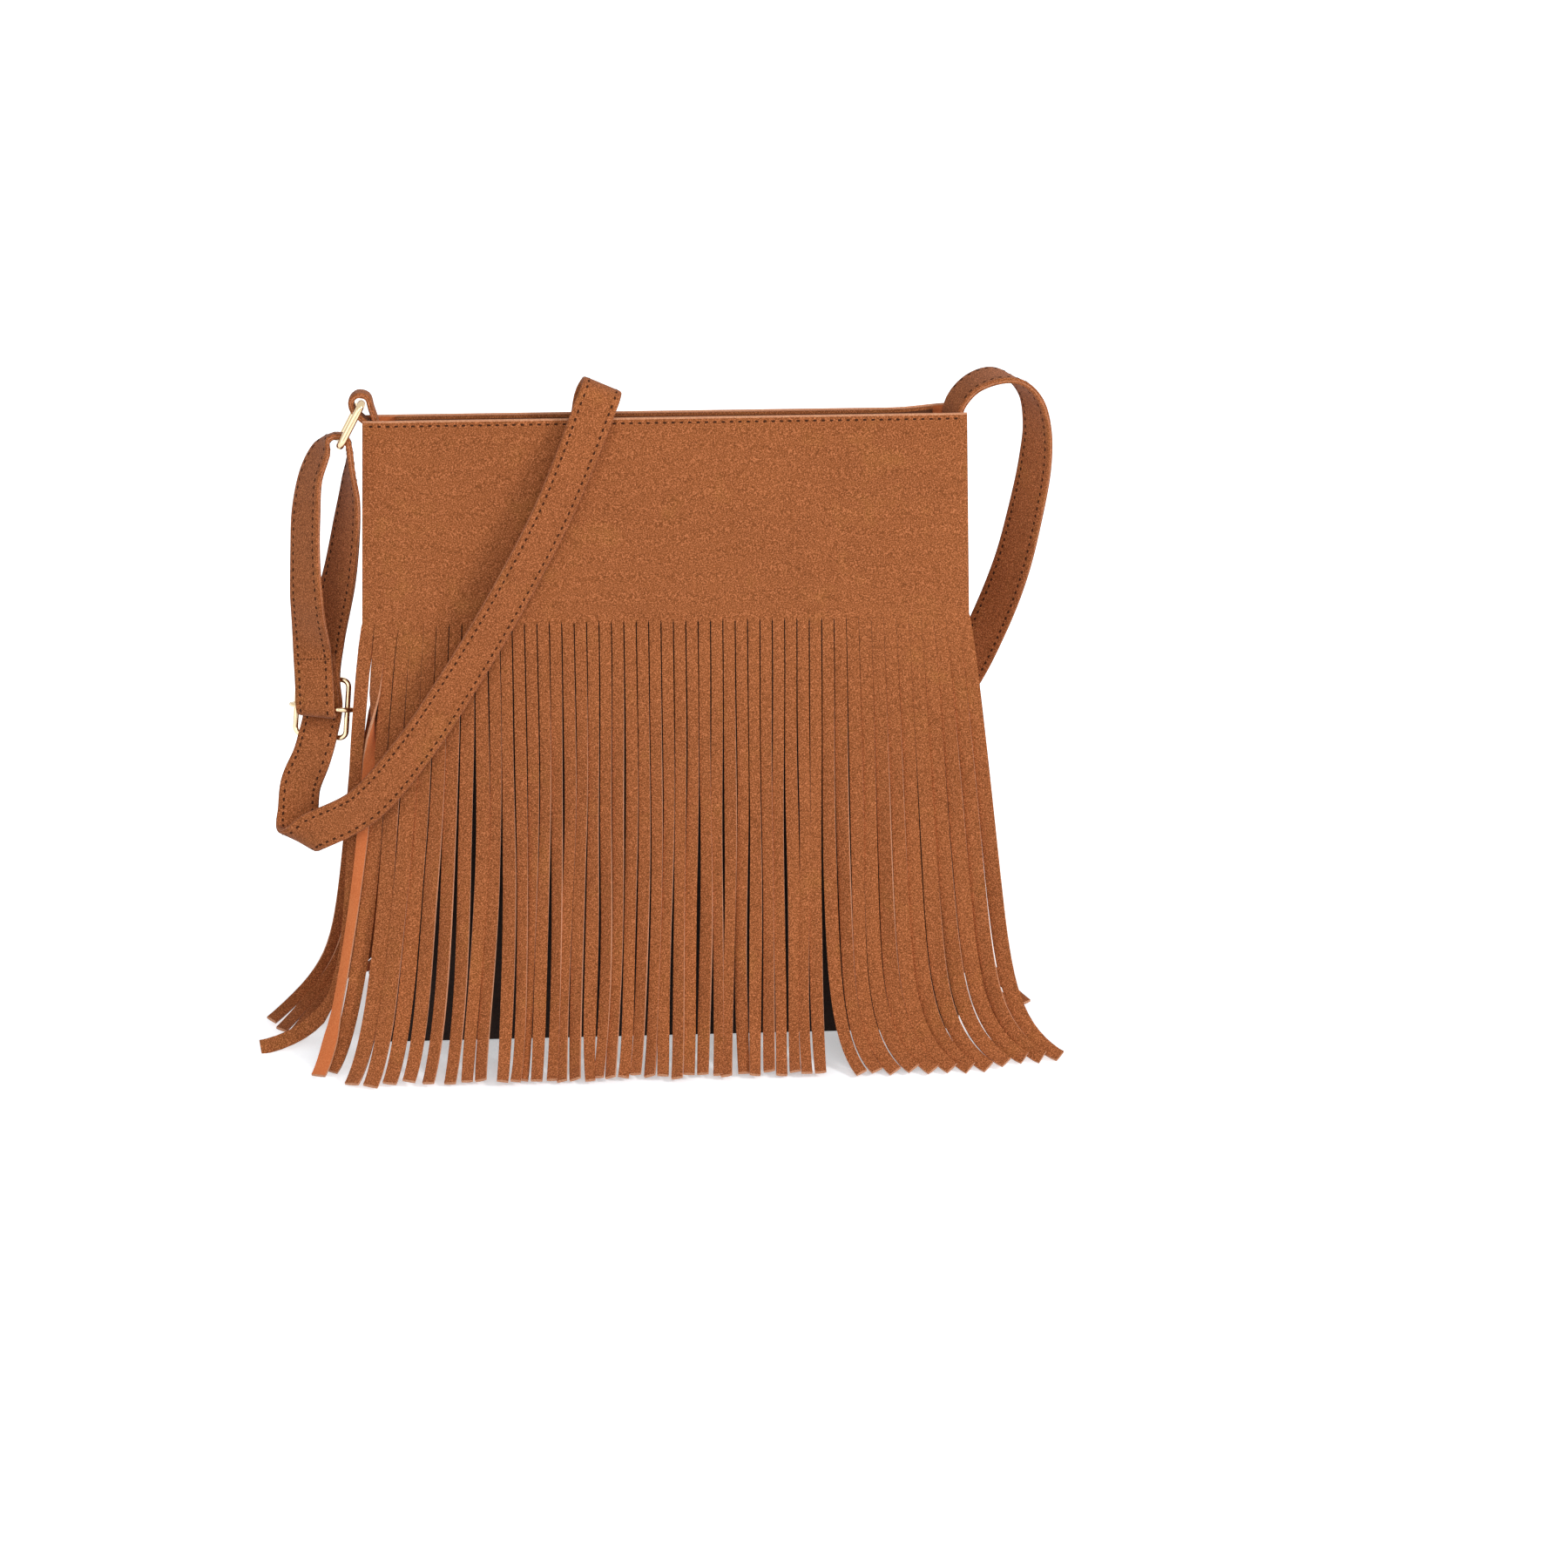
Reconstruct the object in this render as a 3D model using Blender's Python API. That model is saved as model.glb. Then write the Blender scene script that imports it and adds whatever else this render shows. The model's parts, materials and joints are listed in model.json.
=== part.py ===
"""Fringed suede shoulder bag: two fringed panels over a fabric body, a top zip and an adjustable strap.

The file works in millimetres and writes metres. +X is the bag's right as seen from the front, the front
faces -Y, +Z is up, and the origin is on the floor under the middle of the base.
"""

import math

import bpy
import numpy as np

MM = 0.001

# Body
WIDTH = 210.0
RIM_Z = 230.0
RIM_HALF_DEPTH = 5.0
BASE_HALF_DEPTH = 20.3
CORNER_BULGE = 5.5
GAP = 0.3
SUEDE = 1.2
FABRIC = 1.0
LINING = 0.6
GUSSET_DROP = 4.0
BULGE_LEVELS = (RIM_Z - 80.0, RIM_Z - 52.0, RIM_Z - 26.0, RIM_Z)
BULGE_SHARES = (0.0, 0.2, 0.72, 1.0)

# Fringe. A place is a strip's number from its own panel's left end, as seen from outside.
ROOT_Z = RIM_Z - 72.0
STRIPS = 49
STRIP_GAP = 0.35
SPREAD = 2.3
SIDESTEP = 0.7
SEGMENTS = 8
FRONT_REACH = 36.5
BACK_REACH = 21.0
TIP_Z = 1.7
LEFT_FAN = 0.17
LEFT_SWING = 25.0
LEAN = 6.5
PART_SHARE = 0.76
PART_GAP = 7.5
RIGHT_SWING = 27.0
BACK_FAN = 0.24
BACK_SWING = 43.0
EDGE_SWING = 45.0
FLIPPED = 1
FLIPPED_SWING = 26.0
FLIPPED_REACH = 30.0
BACK_CURLS = (22.0, 30.0, 36.0)
SLIT_FADE = 2.5
# Slits that stand open: the share of the panel's width, the gap half way down and the gap at the tips.
OPEN_SLITS = (
    (0.219, 3.0, 4.6),
    (0.24, 1.2, 0.0),
    (0.385, 2.4, 0.0),
    (0.427, 2.4, 0.6),
    (0.51, 0.8, 0.0),
    (0.906, 0.9, 0.0),
)

# Strap and hardware
STRAP_WIDTH = 14.5
STRAP_THICKNESS = 2.2
ROOT_SHARE = 0.86
WIRE = 2.6
TAB_THICKNESS = 2.0
TAB_WIDTH = 6.8
TAB_SLACK = 0.7
TAB_DEPTH = 16.0
RING_HALF_WIDTH = 8.95
SLIDER_WIRE = 2.0
SLIDER_HALF_WIDTH = 9.8
SLIDER_HALF_HEIGHT = 10.4
WIRE_CORNER = 2.6
BAR_WIRE = 1.7
BAR_FORWARD = 3.8

# Zip
ZIP_DROP = 20.0
ZIP_HALF_LENGTH = WIDTH / 2 - 12.0
ZIP_END_MARGIN = 6.0
TAPE_THICKNESS = 0.5
TOOTH_PITCH = 3.0
TOOTH_LENGTH = 1.1
TOOTH_HEIGHT = 1.3
TOOTH_REACH = 0.7
BEAD = 1.5
BEAD_LIP = 0.4
FACING_DROP = 25.0
PLATE = 0.9
PULL_THICKNESS = 0.8

ZIP_Z = RIM_Z - ZIP_DROP
FACING_BOTTOM = RIM_Z - FACING_DROP


def clear_scene():
    """Remove every object that the start-up file holds."""
    for item in list(bpy.data.objects):
        bpy.data.objects.remove(item, do_unlink=True)


def material(name, color, roughness, metallic=0.0):
    """Make a plain Principled material."""
    made = bpy.data.materials.new(name)
    made.use_nodes = True
    shader = made.node_tree.nodes["Principled BSDF"]
    shader.inputs["Base Color"].default_value = (*color, 1.0)
    shader.inputs["Roughness"].default_value = roughness
    shader.inputs["Metallic"].default_value = metallic
    return made


def solid(name, points, faces, finish, smooth=False):
    """Make one object from points in millimetres, with its faces turned outwards."""
    mesh = bpy.data.meshes.new(name)
    mesh.from_pydata([tuple(float(c) * MM for c in p) for p in points], [], [tuple(f) for f in faces])
    mesh.validate()
    made = bpy.data.objects.new(name, mesh)
    bpy.context.collection.objects.link(made)
    made.data.materials.append(finish)
    bpy.context.view_layer.objects.active = made
    bpy.ops.object.select_all(action="DESELECT")
    made.select_set(True)
    bpy.ops.object.mode_set(mode="EDIT")
    bpy.ops.mesh.select_all(action="SELECT")
    bpy.ops.mesh.normals_make_consistent(inside=False)
    bpy.ops.object.mode_set(mode="OBJECT")
    mesh.polygons.foreach_set("use_smooth", [smooth] * len(mesh.polygons))
    return made


def smooth_step(value):
    """Ease from 0 to 1 as the value goes from 0 to 1."""
    value = min(1.0, max(0.0, value))
    return value * value * (3.0 - 2.0 * value)


def unit(vector):
    """Scale a vector to length one."""
    vector = np.array(vector, float)
    return vector / np.linalg.norm(vector)


def bulge_columns():
    """The places along X, on the fringe's own pitch, where the swollen corner of the back bends."""
    return [WIDTH / 2 - WIDTH / STRIPS * k for k in (6, 5, 4, 3, 2, 1)]


def half_depth(side, x, z):
    """Half the bag's depth at a height. The back swells by the corner where the strap is sewn in."""
    depth = RIM_HALF_DEPTH + (BASE_HALF_DEPTH - RIM_HALF_DEPTH) * (1.0 - z / RIM_Z)
    if side > 0:
        columns = bulge_columns()
        shares = [smooth_step(i / (len(columns) - 1)) for i in range(len(columns))]
        depth += CORNER_BULGE * np.interp(x, columns, shares) * np.interp(z, BULGE_LEVELS, BULGE_SHARES)
    return depth


def loft(name, rings, finish, smooth=False, closed=False):
    """Join rings of equal length into one body, with a cap at each end unless it closes on itself."""
    size = len(rings[0])
    points = [p for ring in rings for p in ring]
    faces = []
    count = len(rings)
    for i in range(count if closed else count - 1):
        here = i * size
        after = ((i + 1) % count) * size
        for j in range(size):
            k = (j + 1) % size
            faces.append((here + j, here + k, after + k, after + j))
    if not closed:
        faces.append(tuple(range(size))[::-1])
        faces.append(tuple((count - 1) * size + j for j in range(size)))
    return solid(name, points, faces, finish, smooth)


def wall(name, side, x_range, z_levels, outer, thickness, finish):
    """A flat wall that follows the bag's front or back at a depth under its surface."""
    xs = [x_range[0]] + [x for x in bulge_columns() if side > 0 and x < x_range[1]] + [x_range[1]]
    columns = len(xs) - 1
    rows = len(z_levels)
    points = []
    for layer in (outer, outer + thickness):
        for z in z_levels:
            for x in xs:
                points.append((x, side * (half_depth(side, x, z) - layer), z))
    wide = columns + 1

    def at(layer, row, column):
        return (layer * rows + row) * wide + column

    faces = []
    for r in range(rows - 1):
        for c in range(columns):
            faces.append((at(0, r, c), at(0, r, c + 1), at(0, r + 1, c + 1), at(0, r + 1, c)))
            faces.append((at(1, r, c), at(1, r + 1, c), at(1, r + 1, c + 1), at(1, r, c + 1)))
    for c in range(columns):
        for r in (0, rows - 1):
            faces.append((at(0, r, c), at(1, r, c), at(1, r, c + 1), at(0, r, c + 1)))
    for r in range(rows - 1):
        for c in (0, columns):
            faces.append((at(0, r, c), at(0, r + 1, c), at(1, r + 1, c), at(1, r, c)))
    return solid(name, points, faces, finish)


# Fringe
def wobble(index, seed):
    """A repeatable number from -1 to 1 for a strip."""
    value = math.sin(index * 12.9898 + seed * 78.233) * 43758.5453
    return 2.0 * (value - math.floor(value)) - 1.0


def panel_x(x, z):
    """Where a panel's point lies along X. The panels widen, and hang a little to the left, below the rim."""
    share = (RIM_Z - z) / (RIM_Z - ROOT_Z)
    return x + share * (SPREAD * x / (WIDTH / 2) - SIDESTEP)


def strip_place(index, side):
    """A strip's number from its panel's left end, as seen from outside."""
    return index if side < 0 else STRIPS - 1 - index


def strip_aside(index, side, along):
    """How far a strip has swung to its panel's right at a place along it."""
    place = strip_place(index, side)
    last = STRIPS - 1
    share = place / last
    late = along**10.5
    if side > 0:
        near = min(place, last - place)
        fan = min(1.0, 1.25 * max(0.0, 1.0 - near / (BACK_FAN * last)))
        early = 0.12 + 0.43 * fan
        way = 1.0 if place > near else -1.0
        return way * BACK_SWING * fan * (early * along**0.9 + (1.0 - early) * late)
    if place == 0:
        return -EDGE_SWING * (0.4 * along**0.8 + 0.6 * late)
    if place == FLIPPED:
        return -FLIPPED_SWING * along
    if share > PART_SHARE:
        right = (share - PART_SHARE) / (1.0 - PART_SHARE)
        early = 0.45 + 0.1 * right
        return (PART_GAP + RIGHT_SWING * right) * (early * along**0.8 + (1.0 - early) * late)
    left = max(0.0, 1.0 - share / LEFT_FAN)
    lean = LEAN * (1.0 - (share / PART_SHARE) ** 2.5) * along**1.9
    return -lean - LEFT_SWING * left**1.2 * (0.7 * along**1.2 + 0.3 * late)


def slit_push(index, side, along):
    """How far the slits that stand open push a strip aside at a place along it."""
    share = strip_place(index, side) / (STRIPS - 1)
    lens = 1.75 * along**3 * (1.0 - along**7)
    push = 0.0
    for where, gap, tip_gap in OPEN_SLITS:
        away = (share - where) * STRIPS
        opened = (gap * lens + tip_gap * along**6) / 2
        push += math.copysign(opened * math.exp(-abs(away) / SLIT_FADE), away)
    return push


def strip_reach(index, side, along):
    """How far a strip stands out from its panel along Y at a place along it."""
    place = strip_place(index, side)
    last = STRIPS - 1
    near = min(place, last - place)
    loose = 1.4 * wobble(index, 3 + side)
    if side > 0:
        if near < len(BACK_CURLS):
            return 3.0 * along - (BACK_CURLS[near] + 3.0) * along**16
        full = BACK_REACH + loose
    elif place == FLIPPED:
        full = FLIPPED_REACH
    else:
        left = smooth_step(place / 3.2)
        right = 0.7 + 0.3 * smooth_step((last - place) / 6.0)
        full = FRONT_REACH * (0.14 + 0.86 * min(left, right)) + loose
    return full * (0.25 * along + 0.75 * along**5)


def strip_point(index, side, along):
    """The middle of a strip, from its root at 0 to its tip at 1."""
    root_x = -WIDTH / 2 + WIDTH / STRIPS * (index + 0.5)
    aside = strip_aside(index, side, along) + slit_push(index, side, along)
    tip_z = TIP_Z + 0.6 * wobble(index, 5 + side)
    z = tip_z + (ROOT_Z - tip_z) * (1.0 - along) ** 1.25
    out = half_depth(side, root_x, z) - SUEDE / 2 + strip_reach(index, side, along)
    return np.array((panel_x(root_x, ROOT_Z) - aside * side, side * out, z))


def strip_ring(index, side, along):
    """The four corners of a strip's cut across at a place along it."""
    pitch = WIDTH / STRIPS
    middle = strip_point(index, side, along)
    step = 0.01
    ahead = strip_point(index, side, min(1.0, along + step))
    tangent = unit(ahead - strip_point(index, side, max(0.0, along - step)))
    across = np.array((1.0, 0.0, 0.0))
    across -= tangent * across.dot(tangent)
    across /= np.linalg.norm(across)
    outward = np.cross(across, tangent) * side
    outward *= 1.0 if outward[1] * side > 0 else -1.0
    turn = 0.12 * wobble(index, 9 + side) * along
    across, outward = (
        across * math.cos(turn) + outward * math.sin(turn),
        outward * math.cos(turn) - across * math.sin(turn),
    )
    half_width = (pitch - STRIP_GAP - 0.12 * along) / 2
    half_thick = SUEDE / 2
    return [
        middle - across * half_width + outward * half_thick,
        middle + across * half_width + outward * half_thick,
        middle + across * half_width - outward * half_thick,
        middle - across * half_width - outward * half_thick,
    ]


def fringed_panel(name, side, finish):
    """A suede sheet: a plain yoke above, cut into strips below."""
    levels = (ROOT_Z,) + BULGE_LEVELS[1:]
    xs = np.linspace(-WIDTH / 2, WIDTH / 2, STRIPS + 1)
    wide = STRIPS + 1
    rows = len(levels)
    points = []
    for layer in (0.0, SUEDE):
        for z in levels:
            for x in xs:
                points.append((panel_x(x, z), side * (half_depth(side, x, z) - layer), z))

    def at(layer, row, column):
        return (layer * rows + row) * wide + column

    faces = []
    for r in range(rows - 1):
        for c in range(STRIPS):
            faces.append((at(0, r, c), at(0, r, c + 1), at(0, r + 1, c + 1), at(0, r + 1, c)))
            faces.append((at(1, r, c), at(1, r + 1, c), at(1, r + 1, c + 1), at(1, r, c + 1)))
        for c in (0, STRIPS):
            faces.append((at(0, r, c), at(0, r + 1, c), at(1, r + 1, c), at(1, r, c)))
    for c in range(STRIPS):
        faces.append((at(0, rows - 1, c), at(0, rows - 1, c + 1), at(1, rows - 1, c + 1), at(1, rows - 1, c)))
    for k in range(STRIPS):
        ring = [at(0, 0, k), at(0, 0, k + 1), at(1, 0, k + 1), at(1, 0, k)]
        for i in range(1, SEGMENTS + 1):
            along = 1.0 - (1.0 - i / SEGMENTS) ** 1.35
            start = len(points)
            points.extend(tuple(p) for p in strip_ring(k, side, along))
            after = [start, start + 1, start + 2, start + 3]
            for j in range(4):
                m = (j + 1) % 4
                faces.append((ring[j], ring[m], after[m], after[j]))
            ring = after
        faces.append(tuple(ring))
    return solid(name, points, faces, finish)


# Body
def gusset(finish):
    """One long strip up one side, under the base and up the other side."""
    inset = SUEDE + GAP + FABRIC + GAP
    top = RIM_Z - GUSSET_DROP
    heights = np.array((0.0, 50.0, 100.0) + BULGE_LEVELS[:3] + (top,))
    outline = [(-WIDTH / 2, z) for z in heights[::-1]] + [(WIDTH / 2, z) for z in heights]
    inner = [
        (x + (FABRIC if x < 0 else -FABRIC), max(z, FABRIC))
        for x, z in outline
    ]
    rings = []
    for (x, z), (xi, zi) in zip(outline, inner):
        front = -(half_depth(-1, x, z) - inset)
        back = half_depth(1, x, z) - inset
        front_in = -(half_depth(-1, xi, zi) - inset)
        back_in = half_depth(1, xi, zi) - inset
        rings.append([(x, front, z), (x, back, z), (xi, back_in, zi), (xi, front_in, zi)])
    return loft("gusset", rings, finish)


def lining(finish):
    """A hollow fabric bag, open at the top."""
    inset = SUEDE + GAP + FABRIC + GAP
    half = WIDTH / 2 - FABRIC - GAP
    bottom = FABRIC + GAP
    top = FACING_BOTTOM - 1.0
    levels = (bottom, 75.0) + BULGE_LEVELS[:2] + (top,)
    xs = np.array([-half] + bulge_columns() + [half])

    def ring(z, extra, floor=0.0):
        z = max(z, floor)
        line = np.clip(xs, -half + extra, half - extra)
        front = [(x, -(half_depth(-1, x, z) - inset - extra), z) for x in line]
        back = [(x, half_depth(1, x, z) - inset - extra, z) for x in line[::-1]]
        return front + back

    rings = [ring(z, 0.0) for z in levels]
    rings += [ring(z, LINING, bottom + LINING) for z in levels[::-1]]
    return loft("lining", rings, finish)


def board(finish):
    """The stiff board that keeps the base flat."""
    z0 = FABRIC + GAP + LINING + GAP
    half = WIDTH / 2 - 6.0
    deep = BASE_HALF_DEPTH - 5.2
    ring = [(-half, -deep), (half, -deep), (half, deep), (-half, deep)]
    return loft("base_board", [[(x, y, z) for x, y in ring] for z in (z0, z0 + 1.5)], finish)


# Zip
def zip_tape(name, side, finish):
    """Half of the zip: a fabric tape with its row of teeth along the inner edge."""
    edge = RIM_HALF_DEPTH + (BASE_HALF_DEPTH - RIM_HALF_DEPTH) * (1.0 - ZIP_Z / RIM_Z)
    edge -= SUEDE + GAP + FABRIC + GAP
    count = int(2 * (ZIP_HALF_LENGTH - ZIP_END_MARGIN) / TOOTH_PITCH)
    start = -count * TOOTH_PITCH / 2 + (0.0 if side < 0 else TOOTH_PITCH / 2)
    outline = [(-ZIP_HALF_LENGTH, BEAD + BEAD_LIP), (-ZIP_HALF_LENGTH, BEAD)]
    for i in range(count):
        x = start + i * TOOTH_PITCH
        outline += [(x, BEAD), (x, -TOOTH_REACH), (x + TOOTH_LENGTH, -TOOTH_REACH), (x + TOOTH_LENGTH, BEAD)]
    outline += [(ZIP_HALF_LENGTH, BEAD), (ZIP_HALF_LENGTH, BEAD + BEAD_LIP)]
    low = ZIP_Z - TOOTH_HEIGHT / 2
    high = ZIP_Z + TOOTH_HEIGHT / 2
    tape_low = ZIP_Z - TAPE_THICKNESS / 2
    tape_high = ZIP_Z + TAPE_THICKNESS / 2
    points = []
    for z in (low, high):
        points += [(x, side * y, z) for x, y in outline]
    size = len(outline)
    faces = []
    for j in range(size - 1):
        faces.append((j, j + 1, size + j + 1, size + j))
    # Bead roof and floor go out from the teeth in quads, so the faces stay flat.
    faces.append(tuple(range(size)))
    faces.append(tuple(size + j for j in range(size))[::-1])
    ends = len(points)
    half = ZIP_HALF_LENGTH
    for z in (tape_low, tape_high):
        for x in (-half, half):
            points.append((x, side * (BEAD + BEAD_LIP), z))
    for z in (tape_low, tape_high):
        for x in (-half, half):
            points.append((x, side * edge, z))
    a, b, c, d, e, f, g, h = range(ends, ends + 8)
    faces += [(0, size - 1, b, a), (c, d, 2 * size - 1, size)]
    faces += [(a, b, f, e), (c, g, h, d), (e, f, h, g), (a, e, g, c), (b, d, h, f)]
    faces.append((a, c, size, 1 + size, 1, 0))
    faces.append((b, size - 1, size - 2, 2 * size - 2, 2 * size - 1, d))
    lips = ((0, 1, size + 1, size), (size - 2, size - 1, 2 * size - 1, 2 * size - 2))
    faces = [face for face in faces if face not in lips]
    return solid(name, points, faces, finish)


def extrude_section(name, section, x_range, finish):
    """Run a closed section in Y and Z along X."""
    return loft(name, [[(x, y, z) for y, z in section] for x in x_range], finish)


def join(target, others):
    """Weld other shapes into a target with exact Boolean unions."""
    for other in others:
        tool = target.modifiers.new("join", "BOOLEAN")
        tool.operation = "UNION"
        tool.solver = "EXACT"
        tool.object = other
        bpy.context.view_layer.objects.active = target
        bpy.ops.object.modifier_apply(modifier=tool.name)
        bpy.data.objects.remove(other, do_unlink=True)
    return target


def zip_hardware(metal):
    """The slider that rides on the teeth, its pull, and the stop that closes the other end."""
    x = -ZIP_HALF_LENGTH + 11.0
    top = ZIP_Z + TOOTH_HEIGHT / 2 + GAP
    low = ZIP_Z + TAPE_THICKNESS / 2 + GAP
    deck = top + PLATE
    section = [
        (-2.8, low), (-2.2, low), (-2.2, top), (2.2, top),
        (2.2, low), (2.8, low), (2.8, deck), (-2.8, deck),
    ]
    slider = extrude_section("zip_slider", section, (x - 4.5, x + 4.5), metal)
    arch = [
        (x - 3.0, deck - 0.3), (x - 3.0, deck + 2.3), (x + 3.0, deck + 2.3), (x + 3.0, deck - 0.3),
        (x + 2.2, deck - 0.3), (x + 2.2, deck + 1.5), (x - 2.2, deck + 1.5), (x - 2.2, deck - 0.3),
    ]
    bridge = loft("bridge", [[(px, y, pz) for px, pz in arch] for y in (-0.8, 0.8)], metal)
    join(slider, [bridge])

    # The pull lies flat towards the middle of the zip, its eye round the bridge.
    z0 = deck + GAP + 0.05
    outer = [
        (x - 0.4, -2.0), (x + 6.0, -2.0), (x + 20.0, -2.4),
        (x + 20.0, 2.4), (x + 6.0, 2.0), (x - 0.4, 2.0),
    ]
    pull = loft("zip_pull", [[(px, py, z) for px, py in outer] for z in (z0, z0 + PULL_THICKNESS)], metal)
    hole = [(x + 0.4, -1.15), (x + 5.0, -1.15), (x + 5.0, 1.15), (x + 0.4, 1.15)]
    hole_levels = (z0 - 1.0, z0 + PULL_THICKNESS + 1.0)
    cutter = loft("eye", [[(px, py, z) for px, py in hole] for z in hole_levels], metal)
    cut = pull.modifiers.new("eye", "BOOLEAN")
    cut.operation = "DIFFERENCE"
    cut.solver = "EXACT"
    cut.object = cutter
    bpy.context.view_layer.objects.active = pull
    bpy.ops.object.modifier_apply(modifier=cut.name)
    bpy.data.objects.remove(cutter, do_unlink=True)

    # A metal staple closes each end of the chain, just past the last tooth.
    reach = ZIP_HALF_LENGTH - 3.0
    for name, stop_x in (("zip_stop_left", -reach), ("zip_stop_right", reach)):
        stop_section = [(-2.6, 0.95), (2.6, 0.95), (2.6, 1.75), (-2.6, 1.75)]
        extrude_section(name, [(y, ZIP_Z + z) for y, z in stop_section], (stop_x - 1.0, stop_x + 1.0), metal)


# Strap, tab, ring and slider
def spline(stations, spacing):
    """Pass a smooth line through stations of a place and the way its inner side faces."""
    places = np.array([s[0] for s in stations], float)
    ways = np.array([s[1] for s in stations], float)
    ways /= np.linalg.norm(ways, axis=1)[:, None]
    both = np.hstack([places, ways * 10.0])
    knots = [0.0]
    for a, b in zip(places, places[1:]):
        knots.append(knots[-1] + max(1e-6, np.linalg.norm(b - a)) ** 0.5)
    knots = np.array(knots)
    slopes = np.gradient(both, knots, axis=0)
    out = []
    for i in range(len(stations) - 1):
        span = knots[i + 1] - knots[i]
        steps = max(1, int(round(np.linalg.norm(places[i + 1] - places[i]) / spacing)))
        for s in range(steps):
            t = s / steps
            out.append(
                both[i] * (2 * t**3 - 3 * t**2 + 1)
                + slopes[i] * span * (t**3 - 2 * t**2 + t)
                + both[i + 1] * (3 * t**2 - 2 * t**3)
                + slopes[i + 1] * span * (t**3 - t**2)
            )
    out.append(both[-1])
    return np.array(out)


def ribbon(name, stations, spacing, width, thickness, finish, start_share=1.0):
    """Sweep a flat ribbon along stations, its start narrowed to a share of its width."""
    line = spline(stations, spacing)
    places = line[:, :3]
    lengths = np.concatenate([[0.0], np.cumsum(np.linalg.norm(np.diff(places, axis=0), axis=1))])
    shares = np.interp(lengths, [0.0, 1.2 * width, 2.2 * width], [start_share, start_share, 1.0])
    tangents = np.gradient(places, axis=0)
    rings = []
    for place, tangent, way, share in zip(places, tangents, line[:, 3:], shares):
        tangent = tangent / np.linalg.norm(tangent)
        way = way - tangent * way.dot(tangent)
        way /= np.linalg.norm(way)
        across = np.cross(way, tangent) * width / 2 * share
        deep = way * thickness / 2
        low = place - deep
        high = place + deep
        rings.append([low - across, low + across, high + across, high - across])
    return loft(name, rings, finish)


def wire_loop(name, centre, across, along, half_across, half_along, wire, finish, sides=8):
    """A closed rectangle of round wire with rounded corners."""
    normal = np.cross(across, along)
    line = []
    corners = ((1, 1, 0.0), (-1, 1, 90.0), (-1, -1, 180.0), (1, -1, 270.0))
    for sx, sy, start in corners:
        for step in range(4):
            turn = math.radians(start + 30.0 * step)
            u = sx * (half_across - WIRE_CORNER) + WIRE_CORNER * math.cos(turn)
            v = sy * (half_along - WIRE_CORNER) + WIRE_CORNER * math.sin(turn)
            line.append((u, v, turn))
    rings = []
    for u, v, turn in line:
        middle = centre + across * u + along * v
        out = across * math.cos(turn) + along * math.sin(turn)
        rings.append([
            middle + (out * math.cos(a) + normal * math.sin(a)) * wire / 2
            for a in np.linspace(0.0, 2 * math.pi, sides, endpoint=False)
        ])
    return loft(name, rings, finish, smooth=True, closed=True)


RING_BAR = np.array((-WIDTH / 2 - 8.3, -3.8, RIM_Z - 8.5))
RING_TOP = np.array((-WIDTH / 2 - 0.5, 0.0, RIM_Z + 5.3))
RING_ACROSS = unit((-0.1, 0.97, -0.2))

SLIDER_AT = np.array((-WIDTH / 2 - 19.2, -2.0, RIM_Z - 105.3))
SLIDER_ACROSS = unit((-0.94, 0.34, 0.0))
SLIDER_LEAN = np.array((0.28, 0.17, 0.95))
SLIDER_UP = unit(SLIDER_LEAN - SLIDER_ACROSS * SLIDER_ACROSS.dot(SLIDER_LEAN))
SLIDER_FRONT = np.cross(SLIDER_UP, SLIDER_ACROSS)

FOLD_AT = np.array((WIDTH / 2 - 129.8, 0.0, RIM_Z + 3.7))
FOLD_RADIUS = RIM_HALF_DEPTH + 1.7
FOLD_TILT = math.radians(24.0)

TURN_AT = np.array((-WIDTH / 2 - 26.3, -17.0, RIM_Z - 143.8))
TURN_RADIUS = 6.0
TURN_ADVANCE = 6.3
TURN_TILT = math.radians(31.0)


def on_slider(across, up, front):
    """A place given in the slider's own directions."""
    return SLIDER_AT + SLIDER_ACROSS * across + SLIDER_UP * up + SLIDER_FRONT * front


def half_turn(centre, radius, start, middle, axis, advance, steps):
    """Stations of a strap that goes half round an axis."""
    stations = []
    for i in range(steps + 1):
        turn = math.pi * i / steps
        out = start * math.cos(turn) + middle * math.sin(turn)
        stations.append((centre + out * radius + axis * advance * (i / steps - 0.5), -out))
    return stations


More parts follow.
